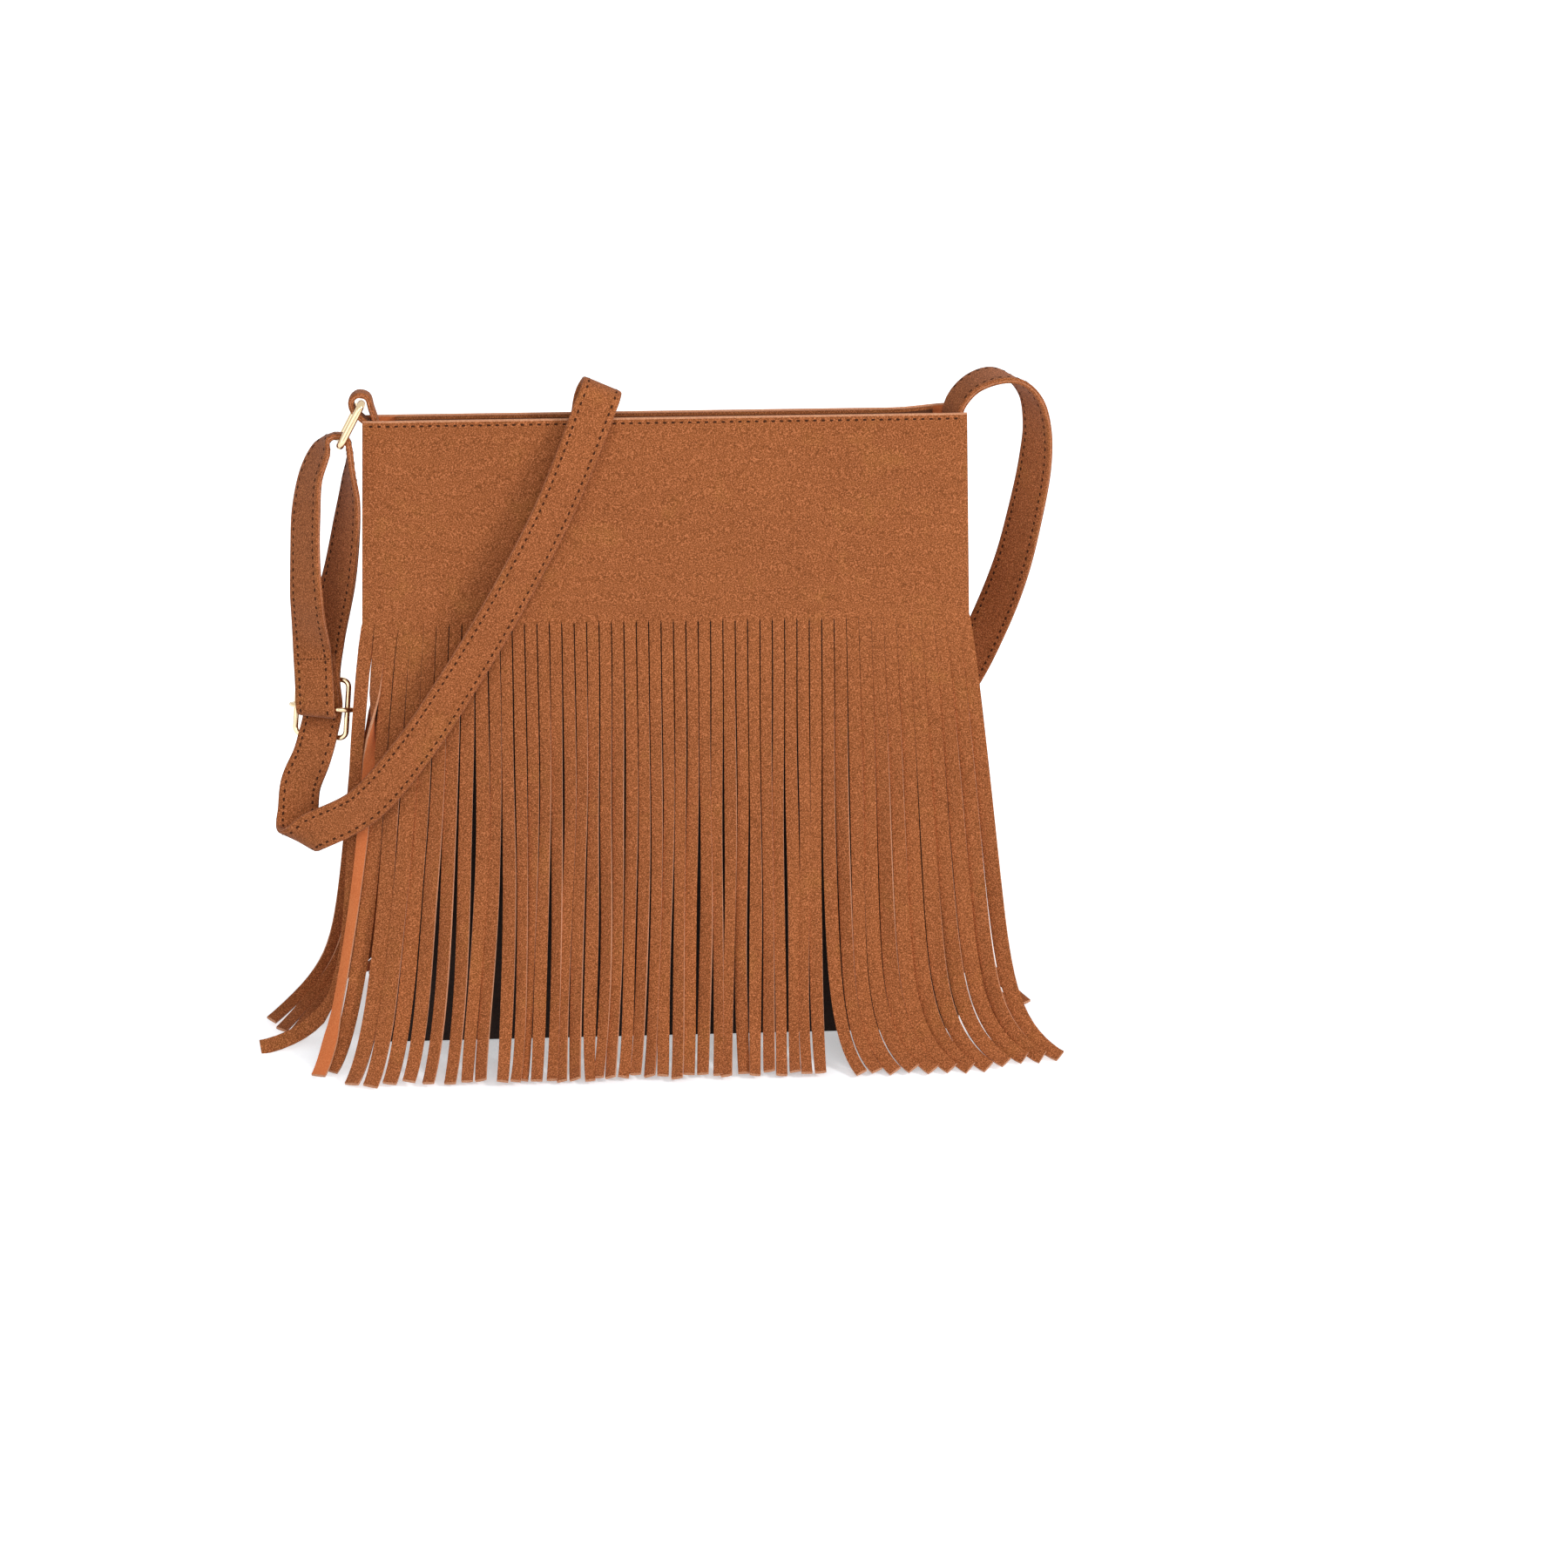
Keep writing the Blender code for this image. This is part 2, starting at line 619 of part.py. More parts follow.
def strap_stations():
    """The strap's way from its sewn end to the slider, by the back, the front and the ring."""
    half = WIDTH / 2
    rim = RIM_Z
    back = np.array((0.0, 1.0, 0.0))
    wrap = BAR_WIRE / 2 + GAP + STRAP_THICKNESS / 2
    over = WIRE / 2 + GAP + 0.4 + STRAP_THICKNESS / 2
    lead = SLIDER_WIRE / 2 + 0.4 + STRAP_THICKNESS / 2
    front = SLIDER_FRONT
    right = unit((RING_ACROSS[1], -RING_ACROSS[0], 0.0))
    lift = unit(np.cross(right, RING_ACROSS))
    arch = [
        ((half - 5.0, 2.7, rim - 14.0), (0.93, 0.36, 0.0)),
        ((half - 4.9, 2.7, rim - 7.0), (0.93, 0.36, 0.0)),
        ((half - 3.4, 2.9, rim + 1.5), (0.93, 0.34, -0.12)),
        ((half + 2.4, 3.6, rim + 8.2), (0.66, 0.24, -0.7)),
        ((half + 10.6, 4.2, rim + 10.9), (0.1, 0.1, -1.0)),
        ((half + 18.0, 4.8, rim + 8.9), (-0.42, -0.2, -0.88)),
        ((half + 23.6, 6.0, rim + 2.6), (-0.74, -0.36, -0.5)),
        ((half + 26.4, 8.0, rim - 9.0), (-0.8, -0.52, -0.1)),
        ((half + 26.2, 10.0, rim - 23.0), (-0.72, -0.66, 0.08)),
        ((half + 23.6, 13.0, rim - 42.0), (-0.66, -0.74, 0.08)),
        ((half + 19.6, 17.0, rim - 63.0), (-0.56, -0.82, 0.06)),
    ]
    behind = [
        ((half + 13.0, 22.0, rim - 85.0), (-0.34, -0.94, 0.0)),
        ((half + 3.0, 26.5, rim - 109.0), (-0.1, -1.0, 0.0)),
        ((half - 12.0, 27.5, rim - 131.0), (0.0, -1.0, 0.0)),
        ((half - 32.0, 26.5, rim - 142.0), (0.0, -1.0, 0.0)),
        ((half - 54.0, 24.5, rim - 139.0), (0.0, -1.0, 0.1)),
        ((half - 80.0, 20.6, rim - 118.0), (0.0, -1.0, 0.12)),
        ((half - 106.0, 15.6, rim - 82.0), (0.0, -1.0, 0.1)),
        ((half - 124.0, 11.4, rim - 44.0), (0.0, -1.0, 0.1)),
        ((half - 131.0, 8.6, rim - 14.0), (-0.04, -1.0, 0.06)),
    ]
    fold_axis = np.array((math.cos(FOLD_TILT), 0.0, -math.sin(FOLD_TILT)))
    fold_up = np.array((math.sin(FOLD_TILT), 0.0, math.cos(FOLD_TILT)))
    fold = half_turn(FOLD_AT, FOLD_RADIUS, back, fold_up, fold_axis, 0.0, 4)
    run = [
        ((half - 136.2, -9.4, rim - 12.0), (-0.15, 0.97, 0.1)),
        ((half - 145.6, -11.8, rim - 33.0), (-0.26, 0.94, 0.15)),
        ((half - 161.4, -14.4, rim - 62.0), (-0.28, 0.94, 0.15)),
        ((half - 177.4, -17.2, rim - 88.0), (-0.22, 0.96, 0.15)),
        ((half - 196.8, -20.8, rim - 116.0), (-0.1, 0.98, 0.14)),
        ((half - 215.0, -23.6, rim - 135.6), (0.0, 0.99, 0.1)),
    ]
    turn_axis = np.array((-math.cos(TURN_TILT), 0.0, math.sin(TURN_TILT)))
    turn_down = np.array((-math.sin(TURN_TILT), 0.0, -math.cos(TURN_TILT)))
    turn = half_turn(TURN_AT, TURN_RADIUS, -back, turn_down, turn_axis, TURN_ADVANCE, 6)
    through = [
        ((-half - 27.6, -9.6, rim - 132.0), (-0.14, -0.98, 0.06)),
        (on_slider(1.4, -18.0, lead + 0.9), front),
        (on_slider(0.0, -11.0, lead + 0.2), front),
        (on_slider(0.0, 0.0, -1.2), front),
        (on_slider(0.0, 11.0, lead), front),
        (on_slider(0.0, 24.0, 0.6), front),
        ((-half - 10.8, 0.4, rim - 57.0), (-0.72, -0.66, 0.0)),
        ((-half - 7.4, -0.6, rim - 40.0), (-0.86, -0.46, 0.0)),
        ((-half - 5.2, -2.0, rim - 25.0), (-0.95, -0.26, 0.0)),
    ]
    ring_wrap = [
        (RING_BAR + right * (over + 0.4) - lift * 4.0, -right),
        (RING_BAR + (right + lift) * over * 0.75, -unit(right + lift)),
        (RING_BAR - right * over * 0.1 + lift * over * 1.05, -lift),
        (RING_BAR - right * over * 1.2 + lift * over * 0.8, unit(right - lift * 1.6)),
    ]
    down_leg = [
        ((-half - 14.2, -4.4, rim - 9.6), (0.74, 0.3, -0.62)),
        ((-half - 18.4, -5.0, rim - 18.6), (0.84, 0.5, -0.16)),
        ((-half - 20.8, -6.0, rim - 32.0), (0.74, 0.67, 0.0)),
        ((-half - 21.8, -7.2, rim - 47.0), (0.7, 0.71, 0.0)),
        ((-half - 22.0, -8.4, rim - 63.0), (0.6, 0.8, 0.0)),
    ]
    bar_wrap = [
        (on_slider(2.4, 20.0, BAR_FORWARD + wrap - 0.2), -front),
        (on_slider(0.8, 8.0, BAR_FORWARD + wrap), -front),
        (on_slider(0.0, 0.0, BAR_FORWARD + wrap), -front),
        (on_slider(0.0, -wrap * 0.72, BAR_FORWARD + wrap * 0.72), unit(SLIDER_UP - front)),
        (on_slider(0.0, -wrap * 1.03, BAR_FORWARD), SLIDER_UP),
        (on_slider(0.0, -wrap * 0.72, BAR_FORWARD - wrap * 0.72), unit(SLIDER_UP + front)),
        (on_slider(0.0, 0.0, BAR_FORWARD - wrap), front),
        (on_slider(0.2, 4.6, BAR_FORWARD - wrap + 0.9), front),
        (on_slider(0.8, 9.0, BAR_FORWARD - wrap + 1.75), front),
        (on_slider(2.2, 19.0, BAR_FORWARD - wrap + 1.55), front),
    ]
    return arch + behind + fold + run + turn + through + ring_wrap + down_leg + bar_wrap


def tab_stations():
    """The tab's way: up from inside the rim, round the ring's top wire and back down."""
    edge = -WIDTH / 2
    foot = RIM_Z - TAB_DEPTH
    outer_x = edge + 4.9
    inner_x = edge + 2.5
    loop = WIRE / 2 + GAP + TAB_SLACK + TAB_THICKNESS / 2
    top = RING_TOP
    return [
        ((outer_x, 0.0, foot), (-1.0, 0.0, 0.0)),
        ((outer_x, 0.0, RIM_Z - GUSSET_DROP), (-1.0, 0.0, 0.0)),
        ((top[0] + loop + 0.2, 0.0, top[2] - 1.6), (-1.0, 0.0, 0.0)),
        ((top[0] + loop * 0.7, 0.0, top[2] + loop * 0.75), (-0.7, 0.0, -0.7)),
        ((top[0] - loop * 0.3, 0.0, top[2] + loop), (0.2, 0.0, -1.0)),
        ((top[0] - loop * 0.95, 0.0, top[2] + loop * 0.4), (0.9, 0.0, -0.3)),
        ((top[0] - loop * 0.85, 0.0, top[2] - loop * 0.6), (0.85, 0.0, 0.5)),
        ((top[0] - 0.2, 0.0, top[2] - loop - 1.6), (0.75, 0.0, 0.66)),
        ((inner_x - 0.1, 0.0, top[2] - loop - 5.0), (1.0, 0.0, 0.1)),
        ((inner_x, 0.0, foot), (1.0, 0.0, 0.0)),
    ]


def strap_hardware(suede, metal):
    """The long strap with the ring, the tab and the adjusting slider that hold it."""
    ribbon("strap", strap_stations(), 4.5, STRAP_WIDTH, STRAP_THICKNESS, suede, ROOT_SHARE)
    down = unit(RING_BAR - RING_TOP)
    middle = (RING_BAR + RING_TOP) / 2
    reach = np.linalg.norm(RING_BAR - RING_TOP) / 2
    wire_loop("strap_ring", middle, RING_ACROSS, down, RING_HALF_WIDTH, reach, WIRE, metal)
    sizes = (SLIDER_HALF_WIDTH, SLIDER_HALF_HEIGHT, SLIDER_WIRE)
    wire_loop("slider_frame", SLIDER_AT, SLIDER_ACROSS, SLIDER_UP, *sizes, metal)
    ribbon("ring_tab", tab_stations(), 2.2, TAB_WIDTH, TAB_THICKNESS, suede)
    slider_bar(metal)


def slider_bar(metal):
    """The slider's centre bar, each end bent back round a side of the frame."""
    hook = SLIDER_WIRE / 2 + GAP + 0.45
    side = SLIDER_HALF_WIDTH
    path = []
    for sign in (-1, 1):
        half_path = [
            (sign * (side + hook * 0.2), -hook * 1.0),
            (sign * (side + hook * 0.98), -hook * 0.1),
            (sign * (side + hook * 0.9), hook * 0.75),
            (sign * (side + hook * 0.2), hook * 1.25 + 0.3),
            (sign * (side - hook * 0.6), BAR_FORWARD - 0.5),
            (sign * (side - hook * 1.3), BAR_FORWARD),
        ]
        path += half_path if sign < 0 else half_path[::-1]
    rings = []
    line = np.array([on_slider(u, 0.0, d) for u, d in path])
    tangents = np.gradient(line, axis=0)
    for i, (place, tangent) in enumerate(zip(line, tangents)):
        tangent = tangent / np.linalg.norm(tangent)
        out = np.cross(tangent, SLIDER_UP)
        size = 0.45 if i < 4 or i > len(line) - 5 else BAR_WIRE / 2
        rings.append([
            place + (out * math.cos(a) * size + SLIDER_UP * math.sin(a) * BAR_WIRE / 2)
            for a in np.linspace(0.0, 2 * math.pi, 8, endpoint=False)
        ])
    loft("slider_bar", rings, metal, smooth=True)


def main():
    """Build every node."""
    clear_scene()
    suede = material("suede", (0.39, 0.125, 0.04), 0.9)
    fabric = material("body_fabric", (0.035, 0.025, 0.02), 0.95)
    cloth = material("lining_cloth", (0.28, 0.19, 0.12), 0.85)
    stiff = material("board", (0.4, 0.36, 0.3), 0.9)
    tape = material("zip_tape", (0.12, 0.06, 0.03), 0.8)
    gold = material("gold", (0.83, 0.66, 0.42), 0.22, 1.0)

    fringed_panel("front_panel", -1, suede)
    fringed_panel("back_panel", 1, suede)
    body_levels = (0.0, 75.0, BULGE_LEVELS[0], ROOT_Z + 10.0)
    wide = (-WIDTH / 2, WIDTH / 2)
    wall("body_front", -1, wide, body_levels, SUEDE + GAP, FABRIC, fabric)
    wall("body_back", 1, wide, body_levels, SUEDE + GAP, FABRIC, fabric)
    facing = (-ZIP_HALF_LENGTH - 1.0, ZIP_HALF_LENGTH + 1.0)
    facing_levels = (FACING_BOTTOM, (FACING_BOTTOM + RIM_Z) / 2, RIM_Z - 1.0)
    wall("front_facing", -1, facing, facing_levels, SUEDE + GAP, FABRIC, suede)
    wall("back_facing", 1, facing, facing_levels, SUEDE + GAP, FABRIC, suede)
    gusset(suede)
    lining(cloth)
    board(stiff)
    zip_tape("zip_tape_front", -1, tape)
    zip_tape("zip_tape_back", 1, tape)
    zip_hardware(gold)
    strap_hardware(suede, gold)


main()
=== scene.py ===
"""Looks of the fringed suede shoulder bag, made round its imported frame.

Every size is in millimetres until a mesh is made, and a mesh is in metres in the frame's own axes:
+X to the bag's right, -Y to the front, +Z up.
"""

import json
import logging
import math
from dataclasses import dataclass, field
from enum import Enum

import bpy
import numpy as np
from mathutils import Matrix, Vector

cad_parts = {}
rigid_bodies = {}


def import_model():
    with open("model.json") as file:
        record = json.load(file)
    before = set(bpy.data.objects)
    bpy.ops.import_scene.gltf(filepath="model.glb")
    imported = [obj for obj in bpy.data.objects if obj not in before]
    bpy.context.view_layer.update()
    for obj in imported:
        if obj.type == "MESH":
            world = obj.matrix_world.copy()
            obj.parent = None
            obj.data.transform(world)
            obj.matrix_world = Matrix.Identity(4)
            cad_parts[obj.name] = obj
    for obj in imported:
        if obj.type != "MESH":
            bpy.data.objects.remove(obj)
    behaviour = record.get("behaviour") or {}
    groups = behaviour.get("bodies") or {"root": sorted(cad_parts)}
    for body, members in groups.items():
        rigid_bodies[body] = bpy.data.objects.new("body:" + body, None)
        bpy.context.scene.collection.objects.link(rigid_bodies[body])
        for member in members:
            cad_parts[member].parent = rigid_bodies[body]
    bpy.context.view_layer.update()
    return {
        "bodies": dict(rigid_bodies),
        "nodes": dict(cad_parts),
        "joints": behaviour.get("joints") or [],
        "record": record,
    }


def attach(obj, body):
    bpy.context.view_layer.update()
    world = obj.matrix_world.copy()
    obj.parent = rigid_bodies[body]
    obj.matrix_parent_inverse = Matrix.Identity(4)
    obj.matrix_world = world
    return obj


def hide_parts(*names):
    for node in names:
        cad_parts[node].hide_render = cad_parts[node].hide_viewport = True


LOG = logging.getLogger("bag")
MM = 0.001
BODY = "bag"


class Slot(Enum):
    """Names of material slots for the new pieces; nothing here assigns them."""

    SUEDE = "suede"
    FABRIC = "body_fabric"
    LINING = "lining_cloth"
    GOLD = "gold"


class Side(Enum):
    """A face of the bag, as the sign of its way along Y."""

    FRONT = -1
    BACK = 1


def unit(vector: "np.ndarray | tuple") -> np.ndarray:
    """Scale a vector to length one."""
    vector = np.array(vector, float)
    return vector / np.linalg.norm(vector)


def smooth_step(value: float) -> float:
    """Ease from 0 to 1 as the value goes from 0 to 1."""
    value = min(1.0, max(0.0, value))
    return value * value * (3.0 - 2.0 * value)


def wobble(index: float, seed: float) -> float:
    """A repeatable number from -1 to 1.

    Args:
        index: Which piece it is for.
        seed: Which of its numbers it is.

    Returns:
        The number.
    """
    value = math.sin(index * 12.9898 + seed * 78.233) * 43758.5453
    return 2.0 * (value - math.floor(value)) - 1.0


# Shader graphs
class Wire:
    """A shader socket that takes part in sums."""

    def __init__(self, tree: bpy.types.NodeTree, socket: bpy.types.NodeSocket) -> None:
        """Hold a socket of a tree."""
        self.tree = tree
        self.socket = socket

    def _sum(self, operation: str, first: "Wire | float", second: "Wire | float") -> "Wire":
        """Add one Math node.

        Args:
            operation: The Math node's operation.
            first: Its first value or link.
            second: Its second value or link.

        Returns:
            The node's result.
        """
        node = self.tree.nodes.new("ShaderNodeMath")
        node.operation = operation
        for place, end in zip(node.inputs, (first, second)):
            if isinstance(end, Wire):
                self.tree.links.new(end.socket, place)
            else:
                place.default_value = end
        return Wire(self.tree, node.outputs[0])

    def __add__(self, other: "Wire | float") -> "Wire":
        """Add."""
        return self._sum("ADD", self, other)

    def __radd__(self, other: float) -> "Wire":
        """Add, from the right."""
        return self._sum("ADD", other, self)

    def __sub__(self, other: "Wire | float") -> "Wire":
        """Subtract."""
        return self._sum("SUBTRACT", self, other)

    def __rsub__(self, other: float) -> "Wire":
        """Subtract, from the right."""
        return self._sum("SUBTRACT", other, self)

    def __mul__(self, other: "Wire | float") -> "Wire":
        """Multiply."""
        return self._sum("MULTIPLY", self, other)

    def __rmul__(self, other: float) -> "Wire":
        """Multiply, from the right."""
        return self._sum("MULTIPLY", other, self)


class Finish:
    """One material and the nodes that make it."""

    def __init__(self, name: str) -> None:
        """Start a material with a Principled shader."""
        self.material = bpy.data.materials.new(name)
        self.material.use_nodes = True
        self.tree = self.material.node_tree
        self.shader = self.tree.nodes["Principled BSDF"]

    def add(self, kind: str, settings: dict, inputs: dict, output: "int | str" = 0) -> Wire:
        """Add a node.

        Args:
            kind: The node's type.
            settings: Its settings; a list under "stops" sets a ramp.
            inputs: Values or wires for its sockets, by name or number.
            output: Which output to return.

        Returns:
            That output.
        """
        node = self.tree.nodes.new(kind)
        for name, value in settings.items():
            if name == "stops":
                self._set_stops(node, value)
            else:
                setattr(node, name, value)
        for name, value in inputs.items():
            self._join(node.inputs[name], value)
        return Wire(self.tree, node.outputs[output])

    @staticmethod
    def _set_stops(node: bpy.types.Node, stops: list) -> None:
        """Give a ramp its stops of place and grey or colour.

        Args:
            node: The ramp's node.
            stops: Pairs of place and value.
        """
        elements = node.color_ramp.elements
        while len(elements) < len(stops):
            elements.new(0.5)
        for element, (place, value) in zip(elements, stops):
            element.position = place
            element.color = (*value, 1.0) if isinstance(value, tuple) else (value, value, value, 1.0)

    def _join(self, place: bpy.types.NodeSocket, value: "Wire | float | tuple") -> None:
        """Set a socket to a value, or link a wire to it.

        Args:
            place: The socket.
            value: What feeds it.
        """
        if isinstance(value, Wire):
            self.tree.links.new(value.socket, place)
        elif isinstance(value, tuple) and len(value) == 3 and place.type == "RGBA":
            place.default_value = (*value, 1.0)
        else:
            place.default_value = value

    def place(self) -> Wire:
        """Object coordinates, in metres."""
        return self.add("ShaderNodeTexCoord", {}, {}, "Object")

    def noise(self, scale: float, detail: float = 2.0, rough: float = 0.5, output: str = "Fac") -> Wire:
        """Noise whose features are about one over scale metres wide."""
        inputs = {"Vector": self.place(), "Scale": scale, "Detail": detail, "Roughness": rough}
        return self.add("ShaderNodeTexNoise", {}, inputs, output)

    def ramp(self, value: Wire, *stops: tuple) -> Wire:
        """Pass a value through a colour ramp."""
        return self.add("ShaderNodeValToRGB", {"stops": list(stops)}, {"Fac": value}, "Color")

    def blend(self, factor: "Wire | float", first: "Wire | tuple", second: "Wire | tuple") -> Wire:
        """Mix two colours."""
        return self.add("ShaderNodeMix", {"data_type": "RGBA"}, {0: factor, 6: first, 7: second}, 2)

    def bump(self, height: Wire, strength: float, distance: float) -> Wire:
        """Turn a height into a normal."""
        return self.add("ShaderNodeBump", {}, {"Height": height, "Strength": strength, "Distance": distance})

    def dress(self, **sockets: "Wire | float | tuple") -> bpy.types.Material:
        """Feed the shader's sockets, named with _ for a space, and return the material.

        Args:
            sockets: Values or wires by the socket's name.

        Returns:
            The material.
        """
        for name, value in sockets.items():
            self._join(self.shader.inputs[name.replace("_", " ")], value)
        return self.material


@dataclass(frozen=True)
class Suede:
    """Brushed suede: a speckled nap over soft light and dark patches."""

    name: str
    tone: tuple
    shade: tuple
    ochre: tuple
    grain: float = 0.75
    nap: float = 0.9
    patch_scale: float = 30.0
    cloud_scale: float = 10.0
    warm_scale: float = 62.0
    speck_scale: float = 2300.0
    hair_scale: float = 2600.0
    matting_scale: float = 260.0

    def make(self) -> bpy.types.Material:
        """Build the material.

        Returns:
            The material.
        """
        finish = Finish(self.name)
        patches = finish.ramp(finish.noise(self.patch_scale, 3.0, 0.55), (0.4, 0.0), (0.68, 1.0))
        clouds = finish.ramp(finish.noise(self.cloud_scale, 2.0, 0.5), (0.38, 0.0), (0.7, 1.0))
        warm = finish.ramp(finish.noise(self.warm_scale, 3.0, 0.6), (0.56, 0.0), (0.78, 1.0))
        base = finish.blend(patches * 0.5, self.tone, self.shade)
        base = finish.blend(clouds * 0.3, base, self.shade)
        base = finish.blend(warm * 0.35, base, self.ochre)
        speck = finish.noise(self.speck_scale, 2.0, 0.7)
        light = finish.ramp(speck, (0.5, 0.0), (0.66, 1.0))
        dark = finish.ramp(speck, (0.34, 1.0), (0.49, 0.0))
        base = finish.blend(light * self.grain, base, tuple(min(1.0, c * 2.1 + 0.05) for c in self.tone))
        base = finish.blend(dark * self.grain, base, tuple(c * 0.36 for c in self.tone))
        hair = finish.noise(self.hair_scale, 2.0, 0.6)
        height = speck * 0.7 + hair * 0.3 + finish.noise(self.matting_scale, 3.0, 0.55) * 0.3
        return finish.dress(
            Base_Color=base,
            Roughness=finish.noise(300.0) * 0.12 + (self.nap - 0.06),
            Normal=finish.bump(height, 0.55, 0.0003),
            Specular_IOR_Level=0.12,
            Sheen_Weight=0.12,
            Sheen_Roughness=0.5,
        )


@dataclass(frozen=True)
class Weave:
    """Plain woven cloth."""

    name: str
    tone: tuple
    threads_per_metre: float = 2400.0
    rough: float = 0.9

    def make(self) -> bpy.types.Material:
        """Build the material.

        Returns:
            The material.
        """
        finish = Finish(self.name)
        scale = math.tau * self.threads_per_metre / 20.0 / 6.3
        threads = []
        for way in ("X", "Z"):
            inputs = {"Vector": finish.place(), "Scale": scale, "Distortion": 0.4}
            threads.append(finish.add("ShaderNodeTexWave", {"bands_direction": way}, inputs, "Fac"))
        cloth = threads[0] * 0.5 + threads[1] * 0.5
        worn = finish.noise(40.0, 3.0)
        base = finish.blend(cloth, tuple(c * 0.6 for c in self.tone), self.tone)
        base = finish.blend(worn * 0.4, base, tuple(c * 1.5 for c in self.tone))
        return finish.dress(
            Base_Color=base,
            Roughness=worn * 0.1 + (self.rough - 0.05),
            Normal=finish.bump(cloth, 0.4, 0.0002),
            Sheen_Weight=0.15,
        )


@dataclass(frozen=True)
class PaleGold:
    """Polished pale gold plate with fine handling marks."""

    name: str = "pale_gold"
    tone: tuple = (0.76, 0.58, 0.36)

    def make(self) -> bpy.types.Material:
        """Build the material.

        Returns:
            The material.
        """
        finish = Finish(self.name)
        marks = finish.noise(900.0, 4.0, 0.6)
        film = finish.noise(120.0, 2.0)
        base = finish.blend(film * 0.35, self.tone, tuple(c * 0.86 for c in self.tone))
        return finish.dress(
            Base_Color=base,
            Metallic=1.0,
            Roughness=film * 0.1 + 0.12,
            Normal=finish.bump(marks, 0.06, 0.0001),
        )


@dataclass(frozen=True)
class Thread:
    """Waxed sewing thread with its twist."""

    name: str = "brown_thread"
    tone: tuple = (0.05, 0.016, 0.006)

    def make(self) -> bpy.types.Material:
        """Build the material.

        Returns:
            The material.
        """
        finish = Finish(self.name)
        inputs = {"Vector": finish.place(), "Scale": 900.0, "Distortion": 1.0}
        twist = finish.add("ShaderNodeTexWave", {"bands_direction": "DIAGONAL"}, inputs, "Fac")
        base = finish.blend(twist * 0.6, self.tone, tuple(c * 1.9 for c in self.tone))
        return finish.dress(
            Base_Color=base,
            Roughness=twist * 0.2 + 0.7,
            Normal=finish.bump(twist, 0.4, 0.0001),
            Specular_IOR_Level=0.1,
        )


@dataclass(frozen=True)
class GreyBoard:
    """Pressed grey board."""

    name: str = "pressed_board"
    tone: tuple = (0.4, 0.36, 0.3)

    def make(self) -> bpy.types.Material:
        """Build the material.

        Returns:
            The material.
        """
        finish = Finish(self.name)
        fibre = finish.noise(700.0, 4.0, 0.7)
        base = finish.blend(fibre, tuple(c * 0.75 for c in self.tone), tuple(c * 1.15 for c in self.tone))
        return finish.dress(
            Base_Color=base, Roughness=fibre * 0.1 + 0.85, Normal=finish.bump(fibre, 0.3, 0.0002)
        )


@dataclass
class Wardrobe:
    """Every finish of the bag, made once."""

    suede: bpy.types.Material = field(init=False)
    suede_back: bpy.types.Material = field(init=False)
    suede_cut: bpy.types.Material = field(init=False)
    suede_painted_shade: bpy.types.Material = field(init=False)
    fabric: bpy.types.Material = field(init=False)
    lining: bpy.types.Material = field(init=False)
    tape: bpy.types.Material = field(init=False)
    board: bpy.types.Material = field(init=False)
    gold: bpy.types.Material = field(init=False)
    thread: bpy.types.Material = field(init=False)

    def __post_init__(self) -> None:
        """Make the materials."""
        self.suede = Suede("tan_suede", (0.36, 0.108, 0.03), (0.28, 0.079, 0.021), (0.47, 0.19, 0.04)).make()
        self.suede_back = Suede(
            "suede_underside", (0.74, 0.2, 0.062), (0.64, 0.16, 0.05), (0.78, 0.26, 0.09), grain=0.2
        ).make()
        self.suede_cut = Suede(
            "suede_cut_edge", (0.7, 0.31, 0.17), (0.58, 0.24, 0.12), (0.72, 0.36, 0.2), grain=0.3
        ).make()
        # Suede painted near black as painted shade for the shadow down inside the bag's mouth; the facings
        # wear it below their top millimetre.
        self.suede_painted_shade = Suede(
            "suede_painted_shade", (0.13, 0.042, 0.015), (0.1, 0.032, 0.012), (0.17, 0.06, 0.022), grain=0.3
        ).make()
        self.fabric = Weave("dark_body_cloth", (0.036, 0.02, 0.014)).make()
        self.lining = Weave("lining_cotton", (0.28, 0.19, 0.12), 3200.0).make()
        self.tape = Weave("zip_tape_weave", (0.12, 0.055, 0.028), 3600.0).make()
        self.board = GreyBoard().make()
        self.gold = PaleGold().make()
        self.thread = Thread().make()


# Mesh tools
def mesh_piece(
    name: str,
    points: "list | np.ndarray",
    faces: list,
    finishes: list,
    marks: "list | None" = None,
    smooth_angle: "float | None" = 40.0,
) -> bpy.types.Object:
    """Make one piece from points in millimetres.

    Args:
        name: The piece's name.
        points: Its points.
        faces: Its faces, as rows of point numbers.
        finishes: Its materials.
        marks: Each face's material number, or None for the first.
        smooth_angle: Faces under this angle apart shade smoothly; None leaves them flat.

    Returns:
        The object, at the origin.
    """
    mesh = bpy.data.meshes.new(name)
    mesh.from_pydata((np.array(points, float) * MM).tolist(), [], [tuple(f) for f in faces])
    for finish in finishes:
        mesh.materials.append(finish)
    if marks is not None:
        mesh.polygons.foreach_set("material_index", marks)
    piece = bpy.data.objects.new(name, mesh)
    bpy.context.scene.collection.objects.link(piece)
    bpy.ops.object.select_all(action="DESELECT")
    bpy.context.view_layer.objects.active = piece
    piece.select_set(True)
    bpy.ops.object.mode_set(mode="EDIT")
    bpy.ops.mesh.select_all(action="SELECT")
    bpy.ops.mesh.normals_make_consistent(inside=False)
    bpy.ops.object.mode_set(mode="OBJECT")
    if smooth_angle is not None:
        bpy.ops.object.shade_smooth_by_angle(angle=math.radians(smooth_angle))
    return piece


